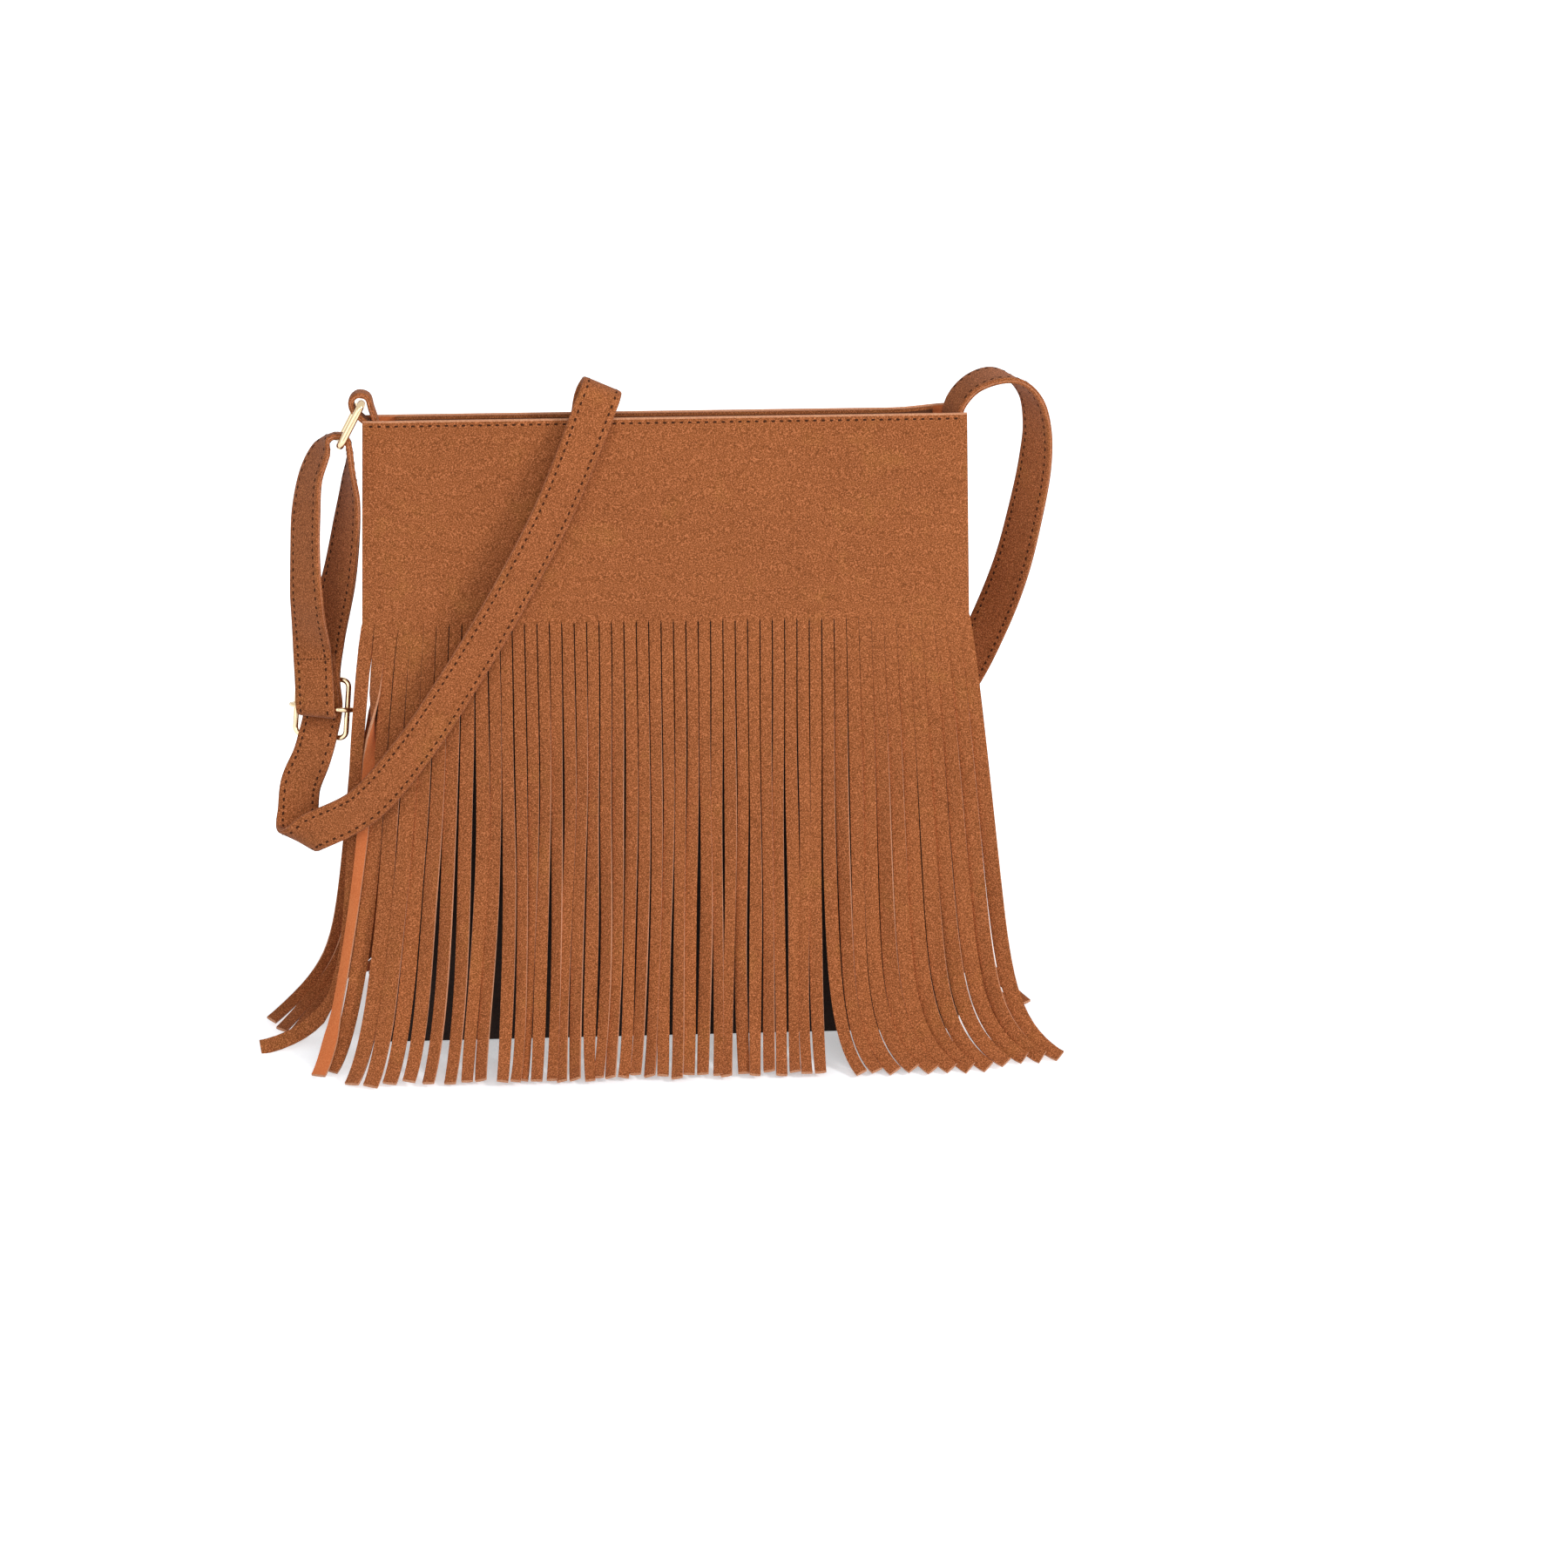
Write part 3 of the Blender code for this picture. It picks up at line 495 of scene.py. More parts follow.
def loft(rings: list, closed: bool = False) -> tuple:
    """Join rings of equal length.

    Args:
        rings: The rings, each a list of points.
        closed: True if the last ring joins the first.

    Returns:
        The points and the faces, with a cap at each end unless closed.
    """
    size = len(rings[0])
    count = len(rings)
    points = [p for ring in rings for p in ring]
    faces = []
    for i in range(count if closed else count - 1):
        here = i * size
        after = ((i + 1) % count) * size
        faces += [(here + j, here + (j + 1) % size, after + (j + 1) % size, after + j) for j in range(size)]
    if not closed:
        faces.append(tuple(range(size))[::-1])
        faces.append(tuple((count - 1) * size + j for j in range(size)))
    return points, faces


def spline(stations: list, spacing: float) -> tuple:
    """Pass a smooth line through stations.

    Args:
        stations: Each a place and the way that the inner side faces there.
        spacing: About how far apart the line's points are.

    Returns:
        The line's places and its facing ways.
    """
    places = np.array([s[0] for s in stations], float)
    ways = np.array([unit(s[1]) for s in stations])
    both = np.hstack([places, ways * 10.0])
    steps_between = np.linalg.norm(np.diff(places, axis=0), axis=1)
    knots = np.concatenate([[0.0], np.cumsum(np.sqrt(steps_between))])
    slopes = np.gradient(both, knots, axis=0)
    out = []
    for i, gap in enumerate(steps_between):
        span = knots[i + 1] - knots[i]
        steps = max(2, int(round(gap / spacing)))
        for s in range(steps):
            t = s / steps
            out.append(
                both[i] * (2 * t**3 - 3 * t**2 + 1)
                + slopes[i] * span * (t**3 - 2 * t**2 + t)
                + both[i + 1] * (3 * t**2 - 2 * t**3)
                + slopes[i + 1] * span * (t**3 - t**2)
            )
    out.append(both[-1])
    line = np.array(out)
    return line[:, :3], line[:, 3:]


@dataclass
class Path:
    """A ribbon's middle line with its directions at each point."""

    places: np.ndarray
    ways: np.ndarray
    across: np.ndarray = field(init=False)
    inner: np.ndarray = field(init=False)
    length: np.ndarray = field(init=False)

    def __post_init__(self) -> None:
        """Work out the directions."""
        tangents = np.gradient(self.places, axis=0)
        tangents /= np.linalg.norm(tangents, axis=1)[:, None]
        inner = self.ways - tangents * np.sum(self.ways * tangents, axis=1)[:, None]
        self.inner = inner / np.linalg.norm(inner, axis=1)[:, None]
        self.across = np.cross(self.inner, tangents)
        steps = np.linalg.norm(np.diff(self.places, axis=0), axis=1)
        self.length = np.concatenate([[0.0], np.cumsum(steps)])

    def at(self, distance: float) -> tuple:
        """Place, across, inner and tangent at a distance along the line.

        Args:
            distance: How far along the line.

        Returns:
            The place and the three directions.
        """
        rows = []
        for values in (self.places, self.across, self.inner):
            rows.append(np.array([np.interp(distance, self.length, values[:, c]) for c in range(3)]))
        place, across, inner = rows[0], unit(rows[1]), unit(rows[2])
        return place, across, inner, unit(np.cross(across, inner))

    def sweep(self, profile: np.ndarray, share: "np.ndarray | None" = None) -> list:
        """Carry a profile of across and inner offsets along the line.

        Args:
            profile: Offsets across and towards the inner side.
            share: The part of the profile's width at each point.

        Returns:
            The rings.
        """
        rings = []
        for i, place in enumerate(self.places):
            wide = 1.0 if share is None else share[i]
            rings.append([place + self.across[i] * u * wide + self.inner[i] * v for u, v in profile])
        return rings


@dataclass
class Stitches:
    """A row of short sewn stitches, made once and copied along."""

    pitch: float = 3.1
    length: float = 2.1
    thickness: float = 0.5
    sides: int = 6
    flatness: float = 0.45
    points: list = field(default_factory=list)
    faces: list = field(default_factory=list)

    def sew(self, place: np.ndarray, along: np.ndarray, out: np.ndarray) -> None:
        """Add one stitch.

        Args:
            place: Its middle, on the surface.
            along: The way the row runs.
            out: The way out of the surface.
        """
        across = np.cross(along, out)
        sides = self.sides
        start = len(self.points)
        half = ((0.5, 0.5, -0.3), (0.3, 0.95, -0.06))
        stops = [(-share, size, lift) for share, size, lift in half] + [(0.0, 1.0, 0.0), *half[::-1]]
        for share, size, lift in stops:
            middle = place + along * self.length * share + out * self.thickness * lift
            for turn in np.linspace(0.0, math.tau, sides, endpoint=False):
                ray = across * math.cos(turn) + out * math.sin(turn) * self.flatness
                self.points.append(middle + ray * self.thickness / 2 * size)
        for i in range(len(stops) - 1):
            here = start + i * sides
            after = here + sides
            for j in range(sides):
                m = (j + 1) % sides
                self.faces.append((here + j, here + m, after + m, after + j))
        self.faces.append(tuple(start + j for j in range(sides))[::-1])
        last = start + (len(stops) - 1) * sides
        self.faces.append(tuple(last + j for j in range(sides)))

    def row(self, path: Path, offset: float, lift: float, start: float, stop: float) -> None:
        """Sew a row along a ribbon.

        Args:
            path: The ribbon's line.
            offset: How far across from the line.
            lift: How far towards the inner side; below 0 is the outer side.
            start: Where the row starts along the line.
            stop: Where it stops.
        """
        for distance in np.arange(start, stop, self.pitch):
            place, across, inner, along = path.at(distance)
            out = inner if lift > 0 else -inner
            self.sew(place + across * offset + inner * lift, along, out)

    def piece(self, name: str, finish: bpy.types.Material) -> bpy.types.Object:
        """Make the row one piece.

        Args:
            name: The piece's name.
            finish: The thread's finish.

        Returns:
            The piece.
        """
        return mesh_piece(name, self.points, self.faces, [finish], smooth_angle=80.0)


# The bag
@dataclass
class Shell:
    """The bag's own shape, which every layer follows."""

    width: float = 210.0
    rim: float = 230.0
    rim_half: float = 5.0
    base_half: float = 20.3
    bulge: float = 5.5
    strips: int = 49
    suede: float = 1.2
    fabric: float = 1.0
    gap: float = 0.3
    root: float = 158.0
    spread: float = 2.3
    sidestep: float = 0.7
    bulge_levels: tuple = (150.0, 178.0, 204.0, 230.0)
    bulge_shares: tuple = (0.0, 0.2, 0.72, 1.0)

    @property
    def pitch(self) -> float:
        """Width of one strip at its root."""
        return self.width / self.strips

    def panel_x(self, x: float, z: float) -> float:
        """Where a panel's point lies along X; the panels widen a little below the rim."""
        share = (self.rim - z) / (self.rim - self.root)
        return x + share * (self.spread * x / (self.width / 2) - self.sidestep)

    def half_depth(self, side: Side, x: float, z: float) -> float:
        """Half the bag's depth at a place, with the back swollen by the strap's corner.

        Args:
            side: Which face.
            x: Where along X.
            z: How high.

        Returns:
            The distance.
        """
        depth = self.rim_half + (self.base_half - self.rim_half) * (1.0 - z / self.rim)
        if side is Side.BACK:
            columns = [self.width / 2 - self.pitch * k for k in (6, 5, 4, 3, 2, 1)]
            shares = [smooth_step(i / 5) for i in range(6)]
            corner = float(np.interp(x, columns, shares))
            depth += self.bulge * corner * float(np.interp(z, self.bulge_levels, self.bulge_shares))
        return depth


@dataclass
class FringedPanel:
    """A suede sheet with a plain yoke above and a cut fringe below."""

    shell: Shell
    side: Side
    slit: float = 0.42
    shingle: float = 0.27
    segments: int = 30
    rows: int = 26
    splits: int = 3
    front_reach: float = 36.5
    back_reach: float = 21.0
    tip_height: float = 1.7
    left_fan: float = 0.2
    left_swing: float = 25.0
    lean: float = 6.5
    part_share: float = 0.76
    part_gap: float = 7.5
    right_swing: float = 27.0
    back_fan: float = 0.24
    back_swing: float = 43.0
    back_right_share: float = 0.66
    edge_swing: float = 45.0
    flipped: int = 1
    flipped_swing: float = 26.0
    flipped_reach: float = 30.0
    late_power: float = 10.5
    early_least: float = 0.12
    early_more: float = 0.43
    early_back_right: float = 0.2
    edge_shares: tuple = (0.4, 0.6)
    flipped_shares: tuple = (0.9, 0.1)
    left_shares: tuple = (0.82, 0.18)
    reach_shares: tuple = (0.25, 0.75)
    tuck: float = 0.14
    loose: float = 1.4
    stagger: float = 0.55
    wave: float = 0.5
    wander: float = 0.75
    calm: float = 0.8
    back_curls: tuple = (22.0, 30.0, 36.0)
    slit_fade: float = 2.5
    strip_length: float = 166.0
    stitch_pitch: float = 2.9
    stitch_length: float = 1.7
    stitch_thick: float = 0.75
    stitch_drop: float = 1.9
    stitch_inset: float = 3.0
    open_slits: tuple = (
        (0.219, 3.0, 4.6),
        (0.24, 1.2, 0.0),
        (0.385, 2.4, 0.0),
        (0.427, 2.4, 0.6),
        (0.51, 0.8, 0.0),
        (0.906, 0.9, 0.0),
    )

    @property
    def sign(self) -> int:
        """-1 at the front and 1 at the back."""
        return self.side.value

    def place_of(self, index: int) -> int:
        """A strip's number from the panel's left end, as seen from outside."""
        return index if self.side is Side.FRONT else self.shell.strips - 1 - index

    def aside(self, index: int, along: float) -> float:
        """How far a strip has swung to its panel's right.

        Args:
            index: The strip's number along X.
            along: How far down the strip, from 0 to 1.

        Returns:
            The swing.
        """
        place = self.place_of(index)
        last = self.shell.strips - 1
        share = place / last
        late = along**self.late_power
        if self.side is Side.BACK:
            near = min(place, last - place)
            fan = min(1.0, 1.25 * max(0.0, 1.0 - near / (self.back_fan * last)))
            early = self.early_least + (self.early_more if place > near else self.early_back_right) * fan
            way = 1.0 if place > near else -self.back_right_share
            return way * self.back_swing * fan * (early * along**0.9 + (1.0 - early) * late)
        if place == 0:
            return -self.edge_swing * (self.edge_shares[0] * along**0.8 + self.edge_shares[1] * late)
        if place == self.flipped:
            return -self.flipped_swing * (self.flipped_shares[0] * along + self.flipped_shares[1] * late)
        if share > self.part_share:
            right = (share - self.part_share) / (1.0 - self.part_share)
            early = self.early_least + self.early_more * right
            swing = self.part_gap + self.right_swing * right
            return swing * (early * along**0.8 + (1.0 - early) * late)
        left = max(0.0, 1.0 - share / self.left_fan)
        lean = self.lean * (1.0 - (share / self.part_share) ** 2.5) * along**1.9
        early_share, late_share = self.left_shares
        return -lean - self.left_swing * left * (early_share * along**0.75 + late_share * late)

    def slit_push(self, index: int, along: float) -> float:
        """How far the slits that stand open push a strip aside.

        Args:
            index: The strip's number along X.
            along: How far down the strip, from 0 to 1.

        Returns:
            The push.
        """
        share = self.place_of(index) / (self.shell.strips - 1)
        lens = 1.75 * along**3 * (1.0 - along**7)
        push = 0.0
        for where, gap, tip_gap in self.open_slits:
            away = (share - where) * self.shell.strips
            opened = (gap * lens + tip_gap * along**6) / 2
            push += math.copysign(opened * math.exp(-abs(away) / self.slit_fade), away)
        return push

    def stand_out(self, index: int, along: float) -> float:
        """How far a strip stands out from its panel.

        Args:
            index: The strip's number along X.
            along: How far down the strip, from 0 to 1.

        Returns:
            The distance.
        """
        place = self.place_of(index)
        last = self.shell.strips - 1
        near = min(place, last - place)
        loose = self.loose * wobble(index, 3 + self.sign)
        if self.side is Side.BACK:
            if near < len(self.back_curls):
                return 3.0 * along - (self.back_curls[near] + 3.0) * along**16
            full = self.back_reach + loose
        elif place == self.flipped:
            full = self.flipped_reach
        else:
            left = smooth_step(place / 3.2)
            right = 0.7 + 0.3 * smooth_step((last - place) / 6.0)
            full = self.front_reach * (self.tuck + (1.0 - self.tuck) * min(left, right)) + loose
        stagger = self.stagger * (1.0 + wobble(index, 31 + self.sign)) * smooth_step(along * 1.6)
        return full * (self.reach_shares[0] * along + self.reach_shares[1] * along**5) + stagger

    def middle(self, index: int, along: float) -> np.ndarray:
        """The middle of a strip, from its root at 0 to its tip at 1.

        Args:
            index: The strip's number along X.
            along: How far down the strip, from 0 to 1.

        Returns:
            The place.
        """
        shell = self.shell
        root_x = -shell.width / 2 + shell.pitch * (index + 0.5)
        aside = self.aside(index, along) + self.slit_push(index, along)
        wave = math.sin(math.tau * (along * (0.9 + 0.4 * wobble(index, 21)) + wobble(index, 22)))
        wander = self.wave * wave * smooth_step(along * 2.0) + self.wander * wobble(index, 50) * along**2
        share = self.place_of(index) / (shell.strips - 1)
        wander *= 1.0 - self.calm * smooth_step((share - self.part_share) * 9.0)
        tip = self.tip_height + 0.6 * wobble(index, 5 + self.sign)
        z = tip + (shell.root - tip) * (1.0 - along) ** 1.25
        out = shell.half_depth(self.side, root_x, z) - shell.suede / 2 + self.stand_out(index, along)
        return np.array((shell.panel_x(root_x, shell.root) - aside * self.sign + wander, self.sign * out, z))

    def turned(self, index: int, along: float) -> float:
        """How far a strip has turned about its own line; one strip shows its underside.

        Args:
            index: The strip's number along X.
            along: How far down the strip, from 0 to 1.

        Returns:
            The angle in radians.
        """
        turn = 0.12 * wobble(index, 9 + self.sign) * along
        lapped = smooth_step(along * 2.5) * (1.0 - 0.5 * along**4)
        turn += self.shingle * (0.7 + 0.5 * wobble(index, 46)) * lapped
        turn += 0.17 * math.sin(math.tau * (along * 1.1 + wobble(index, 40))) * smooth_step(along * 1.5)
        place = self.place_of(index)
        near = min(place, self.shell.strips - 1 - place)
        over = place == self.flipped if self.side is Side.FRONT else near <= len(self.back_curls)
        if over:
            turn += math.pi * smooth_step((along - 0.06) / 0.26)
        return turn

    def half_width(self, index: int, along: float) -> float:
        """Half a strip's width; where the strips stand apart they are a little wider.

        Args:
            index: The strip's number along X.
            along: How far down the strip, from 0 to 1.

        Returns:
            Half the width.
        """
        pitch = self.shell.pitch
        last = self.shell.strips - 1
        ends = [self.middle(min(max(k, 0), last), along)[0] for k in (index - 1, index + 1)]
        count = min(index + 1, last) - max(index - 1, 0)
        share = self.place_of(index) / last
        apart = smooth_step((share - self.part_share) * 12.0) + smooth_step((0.16 - share) * 12.0)
        slit = self.slit * (1.0 - 0.8 * apart) + 0.12 * (1.0 + wobble(index, 41)) * along
        room = abs(ends[1] - ends[0]) / count - slit
        widest = pitch * (1.1 + 0.28 * apart - 0.14 * along**6)
        return min(max(room, pitch - self.slit - 0.2 * along), widest) / 2

    def ring(self, index: int, along: float) -> list:
        """The cut across a strip: outer points from left to right, then inner points back.

        Args:
            index: The strip's number along X.
            along: How far down the strip, from 0 to 1.

        Returns:
            The points.
        """
        step = 0.01
        ahead = self.middle(index, min(1.0, along + step))
        tangent = unit(ahead - self.middle(index, max(0.0, along - step)))
        across = unit(np.array((1.0, 0.0, 0.0)) - tangent * tangent[0])
        outward = np.cross(across, tangent)
        outward *= 1.0 if outward[1] * self.sign > 0 else -1.0
        turn = self.turned(index, along)
        across, outward = (
            across * math.cos(turn) + outward * math.sin(turn),
            outward * math.cos(turn) - across * math.sin(turn),
        )
        half = self.half_width(index, along)
        cup = 0.14 * wobble(index, 44) * min(1.0, along * 2.0)
        thick = self.shell.suede / 2
        middle = self.middle(index, along)
        outer = []
        inner = []
        for share in np.linspace(-1.0, 1.0, self.splits + 1):
            crown = cup * (1.0 - share * share)
            soft = 0.14 * abs(share) ** 4
            base = middle + across * half * share
            outer.append(base + outward * (thick + crown - soft))
            inner.append(base - outward * (thick - crown - soft))
        return outer + inner[::-1]

    def yoke_section(self) -> list:
        """Depth under the surface and height of the yoke's cut, from the outer root over the rim and back.

        Returns:
            Pairs of depth and height.
        """
        half = self.shell.suede / 2
        top = self.shell.rim - half
        heights = np.linspace(self.shell.root, top, self.rows)
        section = [(0.0, z) for z in heights]
        for turn in np.linspace(0.0, math.pi, 7)[1:-1]:
            section.append((half - half * math.cos(turn), top + half * math.sin(turn)))
        section += [(2 * half, z) for z in heights[::-1]]
        return section

    def yoke_point(self, x: float, depth: float, z: float) -> tuple:
        """A point of the yoke, with the sheet's slight slack.

        Args:
            x: Where along X.
            depth: How far under the surface.
            z: How high.

        Returns:
            The point.
        """
        shell = self.shell
        share = (z - shell.root) / (shell.rim - shell.root)
        slack = 0.35 * math.sin(x / 31.0 + 1.0) * math.sin(math.pi * share)
        slack += 0.18 * math.sin(x / 11.0 + z / 17.0) * math.sin(math.pi * share)
        edge = smooth_step((shell.width / 2 - abs(x)) / 7.0)
        out = shell.half_depth(self.side, x, z) - depth + slack * edge - 0.5 * (1.0 - edge) * 0.8
        return (shell.panel_x(x, z), self.sign * out, z)

    def build(self, name: str, wardrobe: Wardrobe) -> bpy.types.Object:
        """Make the sheet.

        Args:
            name: The piece's name.
            wardrobe: The finishes.

        Returns:
            The piece.
        """
        shell = self.shell
        columns = shell.strips * self.splits
        xs = np.linspace(-shell.width / 2, shell.width / 2, columns + 1)
        section = self.yoke_section()
        wide = columns + 1
        points = [self.yoke_point(x, depth, z) for depth, z in section for x in xs]
        faces = []
        marks = []
        last = len(section) - 1
        for r in range(last):
            for c in range(columns):
                faces.append((r * wide + c, r * wide + c + 1, (r + 1) * wide + c + 1, (r + 1) * wide + c))
                rolled = self.rows - 1 <= r <= last - self.rows
                marks.append(2 if rolled else (1 if r > last - self.rows else 0))
        for c in (0, columns):
            for r in range(last // 2):
                rows = (r, r + 1, last - r - 1, last - r)
                faces.append(tuple(row * wide + c for row in rows))
                marks.append(2)
        for k in range(shell.strips):
            first = k * self.splits
            span = range(first, first + self.splits + 1)
            ring = [*span] + [last * wide + c for c in reversed(span)]
            size = len(ring)
            steps = [1.0 - (1.0 - i / self.segments) ** 1.35 for i in range(1, self.segments + 1)]
            for along in [0.008, *steps]:
                start = len(points)
                points += self.ring(k, along)
                after = list(range(start, start + size))
                for j in range(size):
                    m = (j + 1) % size
                    faces.append((ring[j], ring[m], after[m], after[j]))
                    marks.append(0 if j < self.splits else (1 if self.splits < j < size - 1 else 2))
                ring = after
            for j in range(self.splits):
                faces.append((ring[j], ring[j + 1], ring[size - 2 - j], ring[size - 1 - j]))
                marks.append(2)
        finishes = [wardrobe.suede, wardrobe.suede_back, wardrobe.suede_cut]
        return mesh_piece(name, points, faces, finishes, marks, 42.0)

    def flat_area(self) -> float:
        """Area of the flat cut in square metres.

        Returns:
            The area.
        """
        shell = self.shell
        strips = 0.0
        for k in range(shell.strips):
            line = np.array([self.middle(k, a) for a in np.linspace(0.0, 1.0, 30)])
            wide = 2.0 * np.mean([self.half_width(k, a) for a in np.linspace(0.0, 1.0, 8)])
            strips += np.linalg.norm(np.diff(line, axis=0), axis=1).sum() * wide
        return (shell.width * (shell.rim - shell.root) + strips) * MM * MM

    def rim_stitches(self, name: str, wardrobe: Wardrobe) -> bpy.types.Object:
        """The row sewn along the rim.

        Args:
            name: The piece's name.
            wardrobe: The finishes.

        Returns:
            The piece.
        """
        shell = self.shell
        rows = Stitches(self.stitch_pitch, self.stitch_length, self.stitch_thick)
        z = shell.rim - self.stitch_drop
        end = shell.width / 2 - self.stitch_inset
        for x in np.arange(-end, end, rows.pitch):
            place = np.array(self.yoke_point(float(x), 0.0, z))
            rows.sew(place, np.array((1.0, 0.0, 0.0)), np.array((0.0, float(self.sign), 0.06)))
        return rows.piece(name, wardrobe.thread)


@dataclass
class Carcass:
    """The fabric body, the gusset, the facings, the lining and the board."""

    shell: Shell
    zip_half: float = 93.0
    facing_bottom: float = 205.0
    lining_wall: float = 0.6
    body_top: float = 168.0
    body_inset: float = 0.5
    body_ripple: float = 0.12
    facing_drop: float = 0.4
    facing_spare: float = 1.0
    gusset_drop: float = 4.0
    gusset_corner: float = 4.0
    gusset_flat: float = 35.0
    gusset_sag: float = 0.5
    lining_drop: float = 1.0
    lining_floor: float = 36.0

    def wall(self, name: str, side: Side, across: tuple, heights: tuple, depth: float, thick: float,
             finishes: list, ripple: float = 0.0) -> bpy.types.Object:
        """A sheet that follows the bag's face.

        Args:
            name: The piece's name.
            side: Which face.
            across: Its ends along X.
            heights: Its lowest and highest edge.
            depth: How far under the surface its outer side lies.
            thick: How thick it is.
            finishes: Its material, and another for its top millimetre where there is one.
            ripple: How far it waves.

        Returns:
            The piece.
        """
        xs = np.linspace(across[0], across[1], 60)
        zs = np.linspace(heights[0], heights[1], 24)
        rings = []
        for x in xs:
            outer = []
            inner = []
            for z in zs:
                swell = math.sin(math.pi * (z - zs[0]) / (zs[-1] - zs[0]))
                wave = ripple * math.sin(x / 13.0 + z / 29.0) * swell
                out = self.shell.half_depth(side, x, z) - depth + wave - ripple
                outer.append((x, side.value * out, z))
                inner.append((x, side.value * (out - thick), z))
            rings.append(outer + inner[::-1])
        points, faces = loft(rings)
        size = 2 * len(zs)
        top = len(zs) - 1
        edge = (top - 1, top, top + 1)
        marks = [len(finishes) - 1 if i % size in edge else 0 for i in range(len(faces) - 2)]
        return mesh_piece(name, points, faces, finishes, marks + [0, 0], smooth_angle=50.0)

    def gusset(self, wardrobe: Wardrobe) -> bpy.types.Object:
        """The strip up one side, under the base and up the other side.

        Args:
            wardrobe: The finishes.

        Returns:
            The piece.
        """
        shell = self.shell
        inset = shell.suede + shell.gap + shell.fabric + shell.gap
        half = shell.width / 2
        corner = self.gusset_corner
        top = shell.rim - self.gusset_drop
        line = [(-half, z) for z in np.linspace(top, corner, 30)]
        line += [(-half + corner - corner * math.cos(t), corner - corner * math.sin(t))
                 for t in np.linspace(0.0, math.pi / 2, 7)[1:]]
        line += [(x, 0.0) for x in np.linspace(-half + corner, half - corner, 30)[1:]]
        line += [(half - corner + corner * math.sin(t), corner - corner * math.cos(t))
                 for t in np.linspace(0.0, math.pi / 2, 7)[1:]]
        line += [(half, z) for z in np.linspace(corner, top, 30)[1:]]
        flat = np.array(line)
        slopes = np.gradient(flat, axis=0)
        slopes /= np.linalg.norm(slopes, axis=1)[:, None]
        across = (-1.0, -0.4, 0.4, 1.0)
        rings = []
        for (x, z), (tx, tz) in zip(flat, slopes):
            nx, nz = -tz, tx
            ring = []
            for depth, share in [(0.0, s) for s in across] + [(1.0, s) for s in across[::-1]]:
                px, pz = x + nx * depth * shell.fabric, z + nz * depth * shell.fabric
                side = Side.FRONT if share < 0 else Side.BACK
                reach = (shell.half_depth(side, x, max(0.0, z)) - inset) * share
                sag = self.gusset_sag * (1.0 - abs(share)) * smooth_step(z / 40.0)
                ring.append((px + (sag if x < 0 else -sag), reach, pz))
            rings.append(ring)
        points, faces = loft(rings)
        return mesh_piece("gusset_suede", points, faces, [wardrobe.suede], smooth_angle=50.0)

    def lining(self, wardrobe: Wardrobe) -> bpy.types.Object:
        """The hollow lining, open at the top.

        Args:
            wardrobe: The finishes.

        Returns:
            The piece.
        """
        shell = self.shell
        inset = shell.suede + shell.gap + shell.fabric + shell.gap + 0.1
        half = shell.width / 2 - shell.fabric - shell.gap - 0.6
        floor = shell.fabric + shell.gap
        heights = np.linspace(floor, self.facing_bottom - self.lining_drop, 26)

        def ring(z: float, deeper: float) -> list:
            level = max(z, floor + deeper)
            xs = np.linspace(-half + deeper, half - deeper, 44)
            front = [(x, -(shell.half_depth(Side.FRONT, x, level) - inset - deeper), level) for x in xs]
            back = [(x, shell.half_depth(Side.BACK, x, level) - inset - deeper, level) for x in xs[::-1]]
            return front + back

        rings = [ring(z, 0.0) for z in heights] + [ring(z, self.lining_wall) for z in heights[::-1]]
        points, faces = loft(rings)
        return mesh_piece("lining_bag", points, faces, [wardrobe.lining], smooth_angle=50.0)

    def build(self, wardrobe: Wardrobe) -> list:
        """Make the body's sheets.

        Args:
            wardrobe: The finishes.

        Returns:
            The pieces.
        """
        shell = self.shell
        half = shell.width / 2
        under = shell.suede + shell.gap
        top = self.body_top
        facing_top = shell.rim - self.facing_drop
        facing_high = facing_top - self.facing_bottom
        facing_end = self.zip_half + self.facing_spare
        made = []
        for side, word in ((Side.FRONT, "front"), (Side.BACK, "back")):
            body = self.wall(f"body_{word}_cloth", side, (-half + self.body_inset, half - self.body_inset),
                             (0.0, top), under, shell.fabric, [wardrobe.fabric], self.body_ripple)
            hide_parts(f"body_{word}")
            # Each facing is dark suede of painted shade, standing for the shadow inside the mouth, with
            # plain suede along its top millimetre.
            facing = self.wall(f"{word}_facing_suede", side, (-facing_end, facing_end),
                               (self.facing_bottom, facing_top), under, shell.fabric,
                               [wardrobe.suede_painted_shade, wardrobe.suede])
            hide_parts(f"{word}_facing")
            self.declare(body, shell.width - 2 * self.body_inset, top, "stretched", "gusset")
            self.declare(facing, 2 * facing_end, facing_high, "stretched", f"{word}_panel")
            made += [body, facing]
        gusset = self.gusset(wardrobe)
        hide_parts("gusset")
        lining = self.lining(wardrobe)
        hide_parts("lining")
        gusset_long = 2 * (shell.rim - self.gusset_drop) + shell.width
        lining_long = 2 * (self.facing_bottom - self.lining_drop) + self.lining_floor
        self.declare(gusset, self.gusset_flat, gusset_long, "folded", "body_front")
        self.declare(lining, shell.width, lining_long, "folded", "base_board")
        return made + [gusset, lining]

    @staticmethod
    def declare(piece: bpy.types.Object, width: float, length: float, held: str, rests_on: str) -> None:
        """Work out a sheet's area, held to the flat size it was cut to; nothing is kept.

        Args:
            piece: The sheet.
            width: Its flat width.
            length: Its flat length.
            held: How it is held; not used.
            rests_on: The node that it lies on or is sewn to; not used.
        """
        area = min(sum(face.area for face in piece.data.polygons) / 2, width * length * MM * MM)
        width * MM


